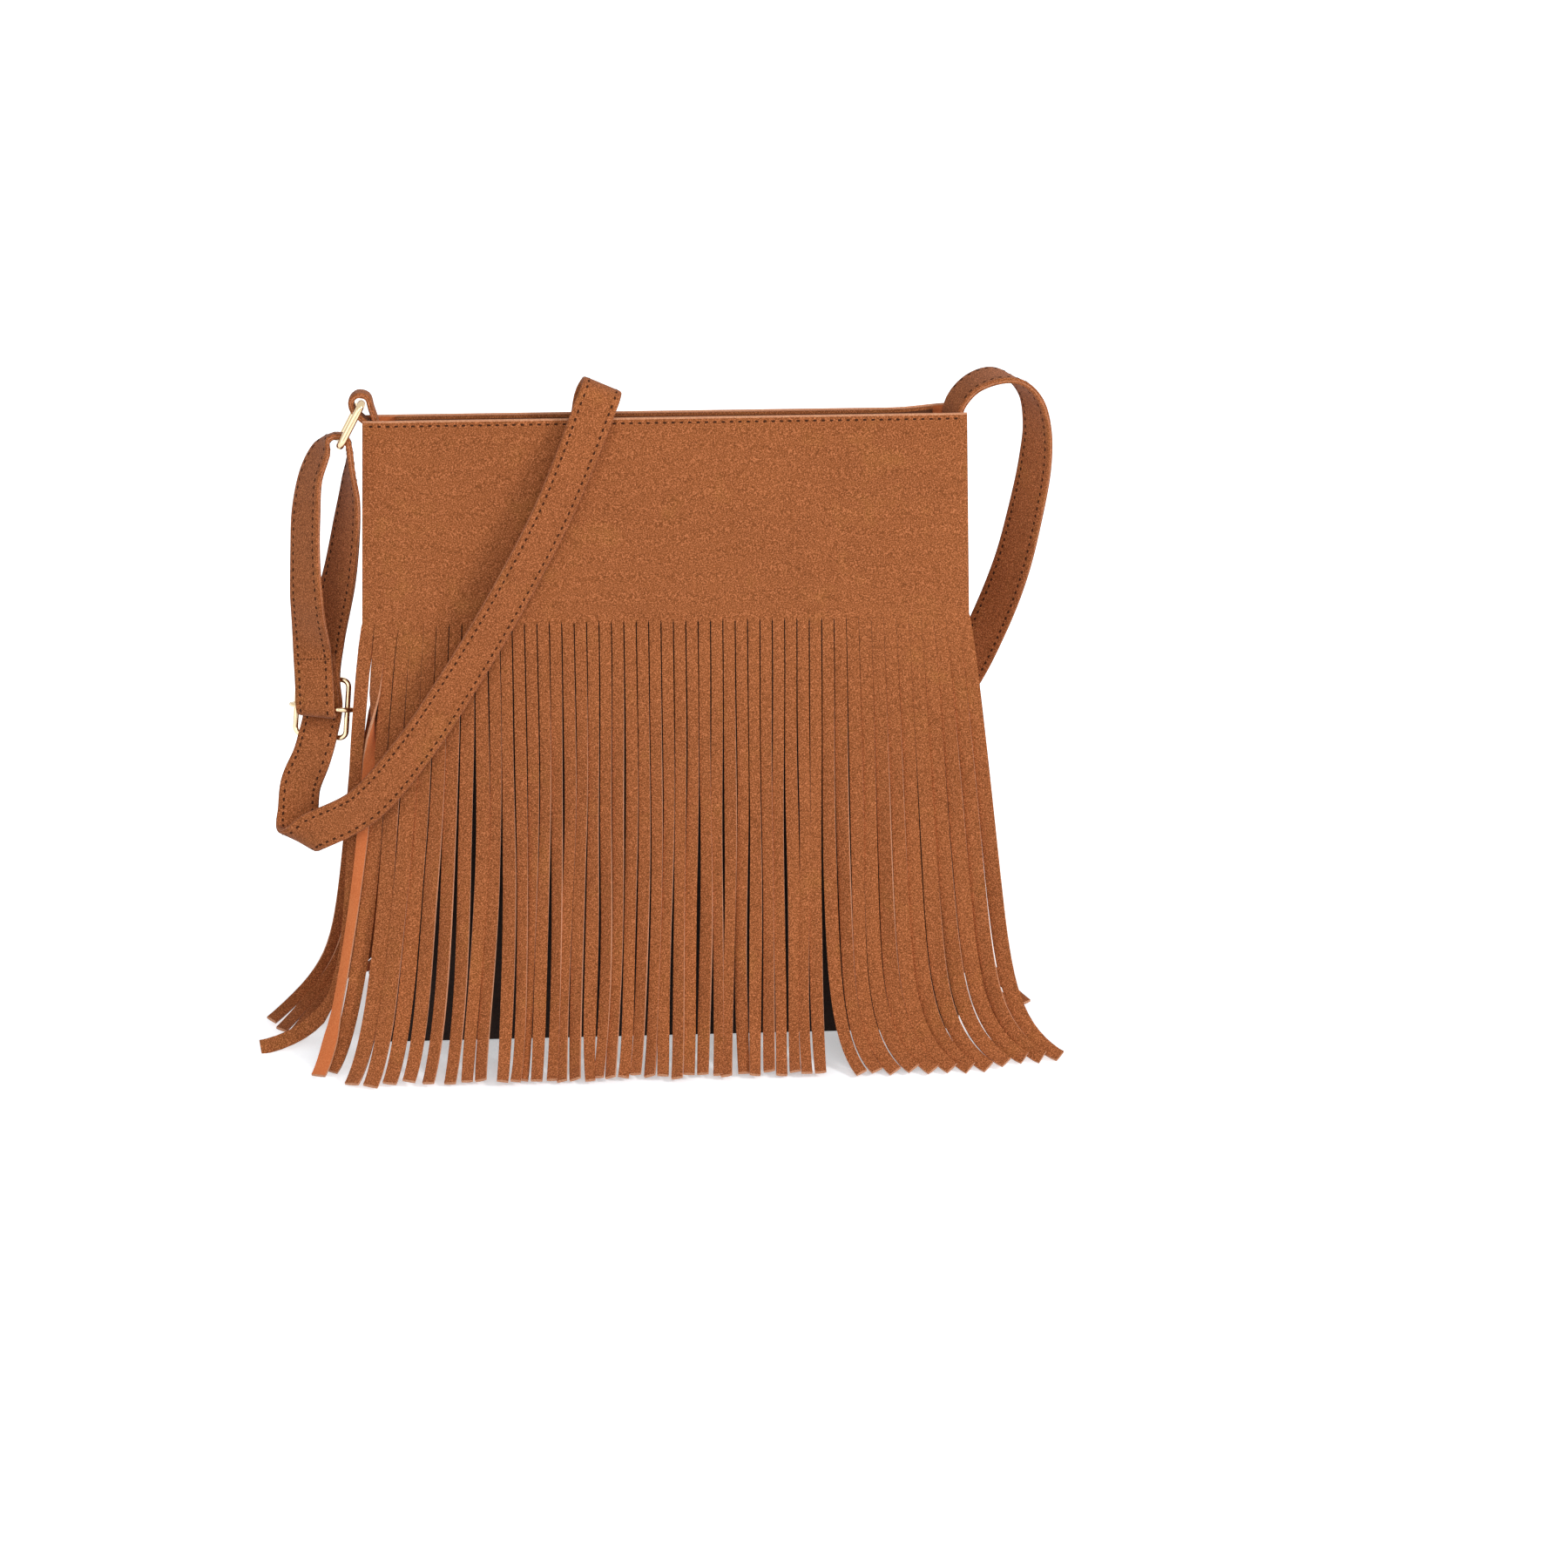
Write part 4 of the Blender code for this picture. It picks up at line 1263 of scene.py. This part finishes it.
@dataclass
class Strap:
    """The long strap, with its ring, tab and slider buckle."""

    shell: Shell
    width: float = 14.5
    thick: float = 2.2
    root_share: float = 0.86
    wire: float = 2.6
    wire_corner: float = 2.6
    ring_half: float = 8.95
    slider_wire: float = 2.0
    slider_half: float = 9.8
    slider_tall: float = 10.4
    bar_wire: float = 1.7
    bar_forward: float = 3.8
    tab_width: float = 6.8
    tab_thick: float = 2.0
    tab_slack: float = 0.7
    tab_depth: float = 16.0
    fold_tilt: float = 24.0
    turn_tilt: float = 31.0
    turn_radius: float = 6.0
    turn_advance: float = 6.3
    stitch_pitch: float = 2.85
    stitch_length: float = 1.7
    stitch_thick: float = 0.78
    stitch_inset: float = 2.1
    stitch_start: float = 20.0
    seam_pitch: float = 1.3
    seam_length: float = 1.1
    seam_thick: float = 0.4
    seam_before_end: float = 44.0

    def __post_init__(self) -> None:
        """Work out the hardware's places."""
        half = self.shell.width / 2
        rim = self.shell.rim
        self.ring_bar = np.array((-half - 8.3, -3.8, rim - 8.5))
        self.ring_top = np.array((-half - 0.5, 0.0, rim + 5.3))
        self.ring_across = unit((-0.1, 0.97, -0.2))
        self.slider_at = np.array((-half - 19.2, -2.0, rim - 105.3))
        self.slider_across = unit((-0.94, 0.34, 0.0))
        lean = np.array((0.28, 0.17, 0.95))
        self.slider_up = unit(lean - self.slider_across * self.slider_across.dot(lean))
        self.slider_front = np.cross(self.slider_up, self.slider_across)

    def on_slider(self, across: float, up: float, front: float) -> np.ndarray:
        """A place given in the slider's own directions."""
        return self.slider_at + self.slider_across * across + self.slider_up * up + self.slider_front * front

    @staticmethod
    def half_turn(centre: np.ndarray, radius: float, start: np.ndarray, middle: np.ndarray,
                  axis: np.ndarray, advance: float, steps: int) -> list:
        """Stations of a strap that goes half round an axis.

        Args:
            centre: The middle of the turn.
            radius: Its radius.
            start: The way out of the centre at its start.
            middle: The way out of the centre half way.
            axis: The axis.
            advance: How far the strap moves along the axis.
            steps: How many steps it has.

        Returns:
            The stations.
        """
        stations = []
        for i in range(steps + 1):
            turn = math.pi * i / steps
            out = start * math.cos(turn) + middle * math.sin(turn)
            stations.append((centre + out * radius + axis * advance * (i / steps - 0.5), -out))
        return stations

    def stations_behind(self) -> list:
        """The strap's way from its sewn end over the arch and down behind the bag to the rim.

        Returns:
            The stations, each a place and the inner side's way.
        """
        half = self.shell.width / 2
        rim = self.shell.rim
        return [
            ((half - 5.0, 2.7, rim - 14.0), (0.93, 0.36, 0.0)),
            ((half - 4.9, 2.7, rim - 7.0), (0.93, 0.36, 0.0)),
            ((half - 3.4, 2.9, rim + 1.5), (0.93, 0.34, -0.12)),
            ((half + 2.4, 3.6, rim + 8.2), (0.66, 0.24, -0.7)),
            ((half + 10.6, 4.2, rim + 10.9), (0.1, 0.1, -1.0)),
            ((half + 18.0, 4.8, rim + 8.9), (-0.42, -0.2, -0.88)),
            ((half + 23.6, 6.0, rim + 2.6), (-0.74, -0.36, -0.5)),
            ((half + 26.4, 8.0, rim - 9.0), (-0.8, -0.52, -0.1)),
            ((half + 26.2, 10.0, rim - 23.0), (-0.72, -0.66, 0.08)),
            ((half + 23.6, 13.0, rim - 42.0), (-0.66, -0.74, 0.08)),
            ((half + 19.6, 17.0, rim - 63.0), (-0.56, -0.82, 0.06)),
            ((half + 13.0, 22.0, rim - 85.0), (-0.34, -0.94, 0.0)),
            ((half + 3.0, 26.5, rim - 109.0), (-0.1, -1.0, 0.0)),
            ((half - 12.0, 27.5, rim - 131.0), (0.0, -1.0, 0.0)),
            ((half - 32.0, 26.5, rim - 142.0), (0.0, -1.0, 0.0)),
            ((half - 54.0, 24.5, rim - 139.0), (0.0, -1.0, 0.1)),
            ((half - 80.0, 20.6, rim - 118.0), (0.0, -1.0, 0.12)),
            ((half - 106.0, 15.6, rim - 82.0), (0.0, -1.0, 0.1)),
            ((half - 124.0, 11.4, rim - 44.0), (0.0, -1.0, 0.1)),
            ((half - 131.0, 8.6, rim - 14.0), (-0.04, -1.0, 0.06)),
        ]

    def stations_before(self) -> list:
        """Its way over the rim, down across the front and round the turn at the left.

        Returns:
            The stations.
        """
        half = self.shell.width / 2
        rim = self.shell.rim
        back = np.array((0.0, 1.0, 0.0))
        tilt = math.radians(self.fold_tilt)
        fold_axis = np.array((math.cos(tilt), 0.0, -math.sin(tilt)))
        fold_up = np.array((math.sin(tilt), 0.0, math.cos(tilt)))
        fold_at = np.array((half - 129.8, 0.0, rim + 3.7))
        fold = self.half_turn(fold_at, self.shell.rim_half + 1.7, back, fold_up, fold_axis, 0.0, 4)
        run = [
            ((half - 136.2, -9.4, rim - 12.0), (-0.15, 0.97, 0.1)),
            ((half - 145.6, -11.8, rim - 33.0), (-0.26, 0.94, 0.15)),
            ((half - 161.4, -14.4, rim - 62.0), (-0.28, 0.94, 0.15)),
            ((half - 177.4, -17.2, rim - 88.0), (-0.22, 0.96, 0.15)),
            ((half - 196.8, -20.8, rim - 116.0), (-0.1, 0.98, 0.14)),
            ((half - 215.0, -23.6, rim - 135.6), (0.0, 0.99, 0.1)),
        ]
        tilt = math.radians(self.turn_tilt)
        turn_axis = np.array((-math.cos(tilt), 0.0, math.sin(tilt)))
        turn_down = np.array((-math.sin(tilt), 0.0, -math.cos(tilt)))
        turn_at = np.array((-half - 26.3, -17.0, rim - 143.8))
        turn = self.half_turn(turn_at, self.turn_radius, -back, turn_down, turn_axis, self.turn_advance, 6)
        return fold + run + turn

    def stations_adjusted(self) -> list:
        """Its way through the slider, over the ring and back down to the slider's bar.

        Returns:
            The stations.
        """
        half = self.shell.width / 2
        rim = self.shell.rim
        wrap = self.bar_wire / 2 + self.shell.gap + self.thick / 2
        over = self.wire / 2 + self.shell.gap + 0.4 + self.thick / 2
        lead = self.slider_wire / 2 + 0.4 + self.thick / 2
        front = self.slider_front
        forward = self.bar_forward
        on = self.on_slider
        right = unit((self.ring_across[1], -self.ring_across[0], 0.0))
        lift = unit(np.cross(right, self.ring_across))
        bar = self.ring_bar
        through = [
            ((-half - 27.6, -9.6, rim - 132.0), (-0.14, -0.98, 0.06)),
            (on(1.4, -18.0, lead + 0.9), front),
            (on(0.0, -11.0, lead + 0.2), front),
            (on(0.0, 0.0, -1.2), front),
            (on(0.0, 11.0, lead), front),
            (on(0.0, 24.0, 0.6), front),
            ((-half - 10.8, 0.4, rim - 57.0), (-0.62, -0.76, 0.0)),
            ((-half - 7.6, -0.6, rim - 40.0), (-0.76, -0.62, 0.0)),
            ((-half - 5.4, -2.0, rim - 25.0), (-0.9, -0.4, 0.0)),
        ]
        ring_wrap = [
            (bar + right * (over + 0.4) - lift * 4.0, -right),
            (bar + (right + lift) * over * 0.75, -unit(right + lift)),
            (bar - right * over * 0.1 + lift * over * 1.05, -lift),
            (bar - right * over * 1.2 + lift * over * 0.8, unit(right - lift * 1.6)),
        ]
        down_leg = [
            ((-half - 14.2, -4.4, rim - 9.6), (0.74, 0.3, -0.62)),
            ((-half - 18.4, -5.0, rim - 18.6), (0.84, 0.5, -0.16)),
            ((-half - 20.8, -6.0, rim - 32.0), (0.74, 0.67, 0.0)),
            ((-half - 21.8, -7.2, rim - 47.0), (0.7, 0.71, 0.0)),
            ((-half - 22.0, -8.4, rim - 63.0), (0.6, 0.8, 0.0)),
        ]
        bar_wrap = [
            (on(2.4, 20.0, forward + wrap - 0.2), -front),
            (on(0.8, 8.0, forward + wrap), -front),
            (on(0.0, 0.0, forward + wrap), -front),
            (on(0.0, -wrap * 0.72, forward + wrap * 0.72), unit(self.slider_up - front)),
            (on(0.0, -wrap * 1.03, forward), self.slider_up),
            (on(0.0, -wrap * 0.72, forward - wrap * 0.72), unit(self.slider_up + front)),
            (on(0.0, 0.0, forward - wrap), front),
            (on(0.2, 4.6, forward - wrap + 0.9), front),
            (on(0.8, 9.0, forward - wrap + 1.75), front),
            (on(2.2, 19.0, forward - wrap + 1.55), front),
        ]
        return through + ring_wrap + down_leg + bar_wrap

    def profile(self, width: float, thick: float) -> np.ndarray:
        """The cut of a ribbon of two layers, its edges rounded with a groove between them.

        Args:
            width: How wide it is.
            thick: How thick it is.

        Returns:
            Offsets across and towards the inner side.
        """
        u = width / 2
        v = thick / 2
        quarter = [
            (u * 0.55, v), (u - 1.5, v), (u - 0.95, v * 0.97), (u - 0.35, v * 0.86),
            (u - 0.06, v * 0.62), (u, v * 0.38), (u - 0.14, v * 0.12),
        ]
        right = quarter + [(u - 0.3, 0.0)] + [(a, -b) for a, b in quarter[::-1]]
        left = [(-a, -b) for a, b in quarter] + [(-u + 0.3, 0.0)] + [(-a, b) for a, b in quarter[::-1]]
        return np.array(right + left)

    def ribbon(self, name: str, path: Path, width: float, thick: float, wardrobe: Wardrobe,
               share: "np.ndarray | None" = None) -> bpy.types.Object:
        """Sweep a two-layer ribbon.

        Args:
            name: The piece's name.
            path: Its line.
            width: How wide it is.
            thick: How thick it is.
            wardrobe: The finishes.
            share: The part of the width at each point.

        Returns:
            The piece.
        """
        profile = self.profile(width, thick)
        points, faces = loft(path.sweep(profile, share))
        size = len(profile)
        groove = {6, 7, size // 2 + 6, size // 2 + 7}
        marks = [1 if i % size in groove else 0 for i in range(len(faces) - 2)] + [1, 1]
        return mesh_piece(name, points, faces, [wardrobe.suede, wardrobe.suede_cut], marks, 70.0)

    def build_strap(self, wardrobe: Wardrobe) -> bpy.types.Object:
        """The strap with its sewn rows.

        Args:
            wardrobe: The finishes.

        Returns:
            The strap, with the stitches parented to it.
        """
        stations = self.stations_behind() + self.stations_before() + self.stations_adjusted()
        path = Path(*spline(stations, 1.6))
        narrow = self.root_share
        share = np.interp(path.length, (0.0, 1.2 * self.width, 2.2 * self.width), (narrow, narrow, 1.0))
        strap = self.ribbon("strap_suede", path, self.width, self.thick, wardrobe, share)
        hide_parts("strap")
        rows = Stitches(self.stitch_pitch, self.stitch_length, self.stitch_thick)
        total = path.length[-1]
        edge = self.width / 2 - self.stitch_inset
        for offset in (-edge, edge):
            for lift in (-self.thick / 2, self.thick / 2):
                rows.row(path, offset, lift, self.stitch_start, total - 1.0)
        sewn = rows.piece("strap_stitches", wardrobe.thread)
        sewn.parent = strap
        cross = Stitches(self.seam_pitch, self.seam_length, self.seam_thick)
        place, across, inner, _ = path.at(total - self.seam_before_end)
        for offset in np.arange(-edge - 1.0, edge + 1.0, cross.pitch):
            cross.sew(place + across * offset - inner * self.thick / 2, across, -inner)
        seam = cross.piece("strap_cross_seam", wardrobe.thread)
        seam.parent = strap
        return strap

    def wire_piece(self, name: str, line: np.ndarray, wire: float, closed: bool,
                   finish: bpy.types.Material) -> bpy.types.Object:
        """Round wire along a line, as a curve that is made a mesh.

        Args:
            name: The piece's name.
            line: The wire's middle line.
            wire: Its thickness.
            closed: True for a loop.
            finish: Its material.

        Returns:
            The piece.
        """
        curve = bpy.data.curves.new(name, "CURVE")
        curve.dimensions = "3D"
        curve.bevel_depth = wire / 2 * MM
        curve.bevel_resolution = 5
        curve.use_fill_caps = not closed
        part = curve.splines.new("POLY")
        part.points.add(len(line) - 1)
        for point, place in zip(part.points, line):
            point.co = (*(np.array(place) * MM), 1.0)
        part.use_cyclic_u = closed
        piece = bpy.data.objects.new(name, curve)
        bpy.context.scene.collection.objects.link(piece)
        bpy.ops.object.select_all(action="DESELECT")
        bpy.context.view_layer.objects.active = piece
        piece.select_set(True)
        bpy.ops.object.convert(target="MESH")
        piece = bpy.context.view_layer.objects.active
        piece.data.materials.clear()
        piece.data.materials.append(finish)
        bpy.ops.object.shade_smooth_by_angle(angle=math.radians(60.0))
        return piece

    @staticmethod
    def rounded(centre: np.ndarray, across: np.ndarray, along: np.ndarray, half_across: float,
                half_along: float, corner: float) -> np.ndarray:
        """A rectangle with rounded corners as a line of places.

        Args:
            centre: Its middle.
            across: The way of its first half size.
            along: The way of its second half size.
            half_across: The first half size.
            half_along: The second half size.
            corner: The corners' radius.

        Returns:
            The places.
        """
        line = []
        for sx, sy, start in ((1, 1, 0.0), (-1, 1, 90.0), (-1, -1, 180.0), (1, -1, 270.0)):
            for step in range(9):
                turn = math.radians(start + 11.25 * step)
                u = sx * (half_across - corner) + corner * math.cos(turn)
                v = sy * (half_along - corner) + corner * math.sin(turn)
                line.append(centre + across * u + along * v)
        return np.array(line)

    def build_metal(self, wardrobe: Wardrobe) -> list:
        """The ring, the slider's frame and its centre bar.

        Args:
            wardrobe: The finishes.

        Returns:
            The three pieces.
        """
        down = unit(self.ring_bar - self.ring_top)
        middle = (self.ring_bar + self.ring_top) / 2
        reach = float(np.linalg.norm(self.ring_bar - self.ring_top)) / 2
        ring_line = self.rounded(middle, self.ring_across, down, self.ring_half, reach, self.wire_corner)
        ring = self.wire_piece("strap_ring_gold", ring_line, self.wire, True, wardrobe.gold)
        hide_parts("strap_ring")
        frame_line = self.rounded(
            self.slider_at, self.slider_across, self.slider_up, self.slider_half, self.slider_tall,
            self.wire_corner,
        )
        frame = self.wire_piece("slider_frame_gold", frame_line, self.slider_wire, True, wardrobe.gold)
        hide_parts("slider_frame")
        hook = self.slider_wire / 2 + 0.3 + 0.45
        side = self.slider_half
        half_path = [
            (side - hook * 1.6, self.bar_forward),
            (side - hook * 0.6, self.bar_forward - 0.3),
            (side + hook * 0.2, hook * 1.25 + 0.3),
            (side + hook * 0.9, hook * 0.75),
            (side + hook * 1.0, -hook * 0.1),
            (side + hook * 0.7, -hook * 0.8),
            (side, -hook * 1.05),
        ]
        line = [self.on_slider(-u, 0.0, d) for u, d in half_path[::-1]]
        line += [self.on_slider(u, 0.0, d) for u, d in half_path]
        bar = self.wire_piece("slider_bar_gold", np.array(line), self.bar_wire, False, wardrobe.gold)
        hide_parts("slider_bar")
        return [ring, frame, bar]

    def build_tab(self, wardrobe: Wardrobe) -> bpy.types.Object:
        """The loop that holds the ring.

        Args:
            wardrobe: The finishes.

        Returns:
            The piece.
        """
        edge = -self.shell.width / 2
        rim = self.shell.rim
        foot = rim - self.tab_depth
        outer_x = edge + 4.9
        inner_x = edge + 2.5
        loop = self.wire / 2 + self.shell.gap + self.tab_slack + self.tab_thick / 2
        top = self.ring_top
        stations = [
            ((outer_x, 0.0, foot), (-1.0, 0.0, 0.0)),
            ((outer_x, 0.0, rim - 4.0), (-1.0, 0.0, 0.0)),
            ((top[0] + loop + 0.2, 0.0, top[2] - 1.6), (-1.0, 0.0, 0.0)),
            ((top[0] + loop * 0.7, 0.0, top[2] + loop * 0.75), (-0.7, 0.0, -0.7)),
            ((top[0] - loop * 0.3, 0.0, top[2] + loop), (0.2, 0.0, -1.0)),
            ((top[0] - loop * 0.95, 0.0, top[2] + loop * 0.4), (0.9, 0.0, -0.3)),
            ((top[0] - loop * 0.85, 0.0, top[2] - loop * 0.6), (0.85, 0.0, 0.5)),
            ((top[0] - 0.2, 0.0, top[2] - loop - 1.6), (0.75, 0.0, 0.66)),
            ((inner_x - 0.1, 0.0, top[2] - loop - 5.0), (1.0, 0.0, 0.1)),
            ((inner_x, 0.0, foot), (1.0, 0.0, 0.0)),
        ]
        path = Path(*spline(stations, 0.8))
        tab = self.ribbon("ring_tab_suede", path, self.tab_width, self.tab_thick, wardrobe)
        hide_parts("ring_tab")
        return tab


@dataclass
class Studio:
    """Floor, light and camera."""

    distance: float = 1200.0
    elevation: float = 20.0
    azimuth: float = -1.12
    target: tuple = (0.0, 0.0, 115.0)
    aim: tuple = (41.24, 0.0, -24.17)
    lens: float = 76.28
    ambient: float = 0.32
    near_glow: tuple = (0.42, 0.42, 0.42)
    floor_size: float = 12.0
    floor_level: float = -0.0004
    floor_tone: tuple = (0.84, 0.9, 0.96)
    shadow_shape: tuple = (1.0, 1.7, 1.0)
    shadow_fade: tuple = (0.12, 0.2)
    lamp_aim: tuple = (0.0, 0.0, 0.11)

    def floor(self) -> None:
        """A pale floor that keeps the bag's shadow and goes over into plain white away from it."""
        bpy.ops.object.select_all(action="DESELECT")
        bpy.ops.mesh.primitive_plane_add(size=self.floor_size, location=(0.0, 0.0, self.floor_level))
        floor = bpy.context.view_layer.objects.active
        floor.name = "floor"
        bpy.ops.object.transform_apply(location=True, rotation=False, scale=False)
        finish = Finish("pale_floor")
        parts = {0: finish.place(), 1: self.shadow_shape}
        oval = finish.add("ShaderNodeVectorMath", {"operation": "MULTIPLY"}, parts, "Vector")
        away = finish.add("ShaderNodeVectorMath", {"operation": "LENGTH"}, {0: oval}, "Value")
        far = finish.ramp(away, (self.shadow_fade[0], 0.0), (self.shadow_fade[1], 1.0))
        finish.dress(
            Base_Color=self.floor_tone,
            Roughness=0.95,
            Specular_IOR_Level=0.0,
            Emission_Color=finish.blend(far, self.near_glow, (1.0, 1.0, 1.0)),
            Emission_Strength=self.seen(finish.tree),
        )
        floor.data.materials.append(finish.material)

    @staticmethod
    def seen(tree: bpy.types.NodeTree) -> Wire:
        """1 for what the camera sees straight, in metal or through glass, and 0 for what lights the bag.

        Args:
            tree: The shader's node tree.

        Returns:
            The sum of the three kinds of ray.
        """
        rays = tree.nodes.new("ShaderNodeLightPath")
        kinds = ("Is Camera Ray", "Is Glossy Ray", "Is Transmission Ray")
        straight, gloss, through = (Wire(tree, rays.outputs[kind]) for kind in kinds)
        return straight + gloss + through

    def lamp(self, name: str, place: tuple, size: float, power: float, tone: tuple) -> None:
        """An area lamp that faces the bag.

        Args:
            name: The lamp's name.
            place: Where it hangs, in metres.
            size: Its width in metres.
            power: Its power in watts.
            tone: Its colour.
        """
        light = bpy.data.lights.new(name, "AREA")
        light.size = size
        light.energy = power
        light.color = tone
        lamp = bpy.data.objects.new(name, light)
        bpy.context.scene.collection.objects.link(lamp)
        lamp.location = place
        way = np.array(self.lamp_aim) - np.array(place)
        lamp.rotation_euler = Vector(way).to_track_quat("-Z", "Y").to_euler()

    def world(self) -> None:
        """White to the camera and in reflections, softer as light."""
        world = bpy.data.worlds.new("studio_world")
        bpy.context.scene.world = world
        world.use_nodes = True
        tree = world.node_tree
        ground = tree.nodes["Background"]
        ground.inputs["Color"].default_value = (1.0, 1.0, 1.0, 1.0)
        strength = self.ambient + (1.0 - self.ambient) * self.seen(tree)
        tree.links.new(strength.socket, ground.inputs["Strength"])

    def camera(self) -> None:
        """The photo's own view."""
        turn = math.radians(self.azimuth)
        rise = math.radians(self.elevation)
        back = np.array((math.sin(turn) * math.cos(rise), -math.cos(turn) * math.cos(rise), math.sin(rise)))
        place = np.array(self.target) + back * self.distance
        look = np.array(self.target) + np.array(self.aim)
        data = bpy.data.cameras.new("camera")
        data.sensor_width = 36.0
        data.lens = self.lens
        data.clip_start = 0.01
        camera = bpy.data.objects.new("camera", data)
        bpy.context.scene.collection.objects.link(camera)
        camera.location = place * MM
        camera.rotation_euler = Vector((look - place) * MM).to_track_quat("-Z", "Y").to_euler()
        bpy.context.scene.camera = camera

    def set_up(self) -> None:
        """Build the studio."""
        self.floor()
        self.world()
        self.lamp("key", (1.35, -0.72, 1.05), 0.35, 15.0, (1.0, 0.985, 0.96))
        self.lamp("front", (0.2, -1.3, 1.0), 0.8, 4.5, (1.0, 1.0, 1.0))
        self.lamp("fill", (-0.95, -1.2, 0.6), 1.2, 6.0, (0.97, 0.98, 1.0))
        self.camera()
        bpy.context.scene.view_settings.view_transform = "Standard"


def dress_nodes(frame: dict, wardrobe: Wardrobe) -> None:
    """Give the frame's own nodes their finishes.

    Args:
        frame: The loaded frame.
        wardrobe: The finishes.
    """
    finishes = {
        "base_board": wardrobe.board,
        "zip_tape_front": wardrobe.tape,
        "zip_tape_back": wardrobe.tape,
        "zip_slider": wardrobe.gold,
        "zip_pull": wardrobe.gold,
        "zip_stop_left": wardrobe.gold,
        "zip_stop_right": wardrobe.gold,
    }
    for name, finish in finishes.items():
        for place in frame["nodes"][name].material_slots:
            place.material = finish


def build_bag(frame: dict, wardrobe: Wardrobe) -> None:
    """Make every piece and seat it on its body.

    Args:
        frame: The loaded frame.
        wardrobe: The finishes.
    """
    shell = Shell()
    dress_nodes(frame, wardrobe)
    for side, word in ((Side.FRONT, "front"), (Side.BACK, "back")):
        panel = FringedPanel(shell, side)
        sheet = panel.build(f"{word}_panel_suede", wardrobe)
        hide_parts(f"{word}_panel")
        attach(sheet, BODY)
        stitches = panel.rim_stitches(f"{word}_rim_stitches", wardrobe)
        stitches.parent = sheet
        drop = shell.rim - shell.root + panel.strip_length
        min(panel.flat_area(), shell.width * drop * MM * MM)
        LOG.info("made %s", sheet.name)
    for piece in Carcass(shell).build(wardrobe):
        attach(piece, BODY)
        LOG.info("made %s", piece.name)
    strap = Strap(shell)
    for piece in [strap.build_strap(wardrobe), strap.build_tab(wardrobe), *strap.build_metal(wardrobe)]:
        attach(piece, BODY)
        LOG.info("made %s", piece.name)


def main() -> None:
    """Load the frame, dress it and set up the studio."""
    logging.basicConfig(level=logging.INFO)
    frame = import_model()
    wardrobe = Wardrobe()
    build_bag(frame, wardrobe)
    Studio().set_up()


if __name__ == "__main__":
    main()
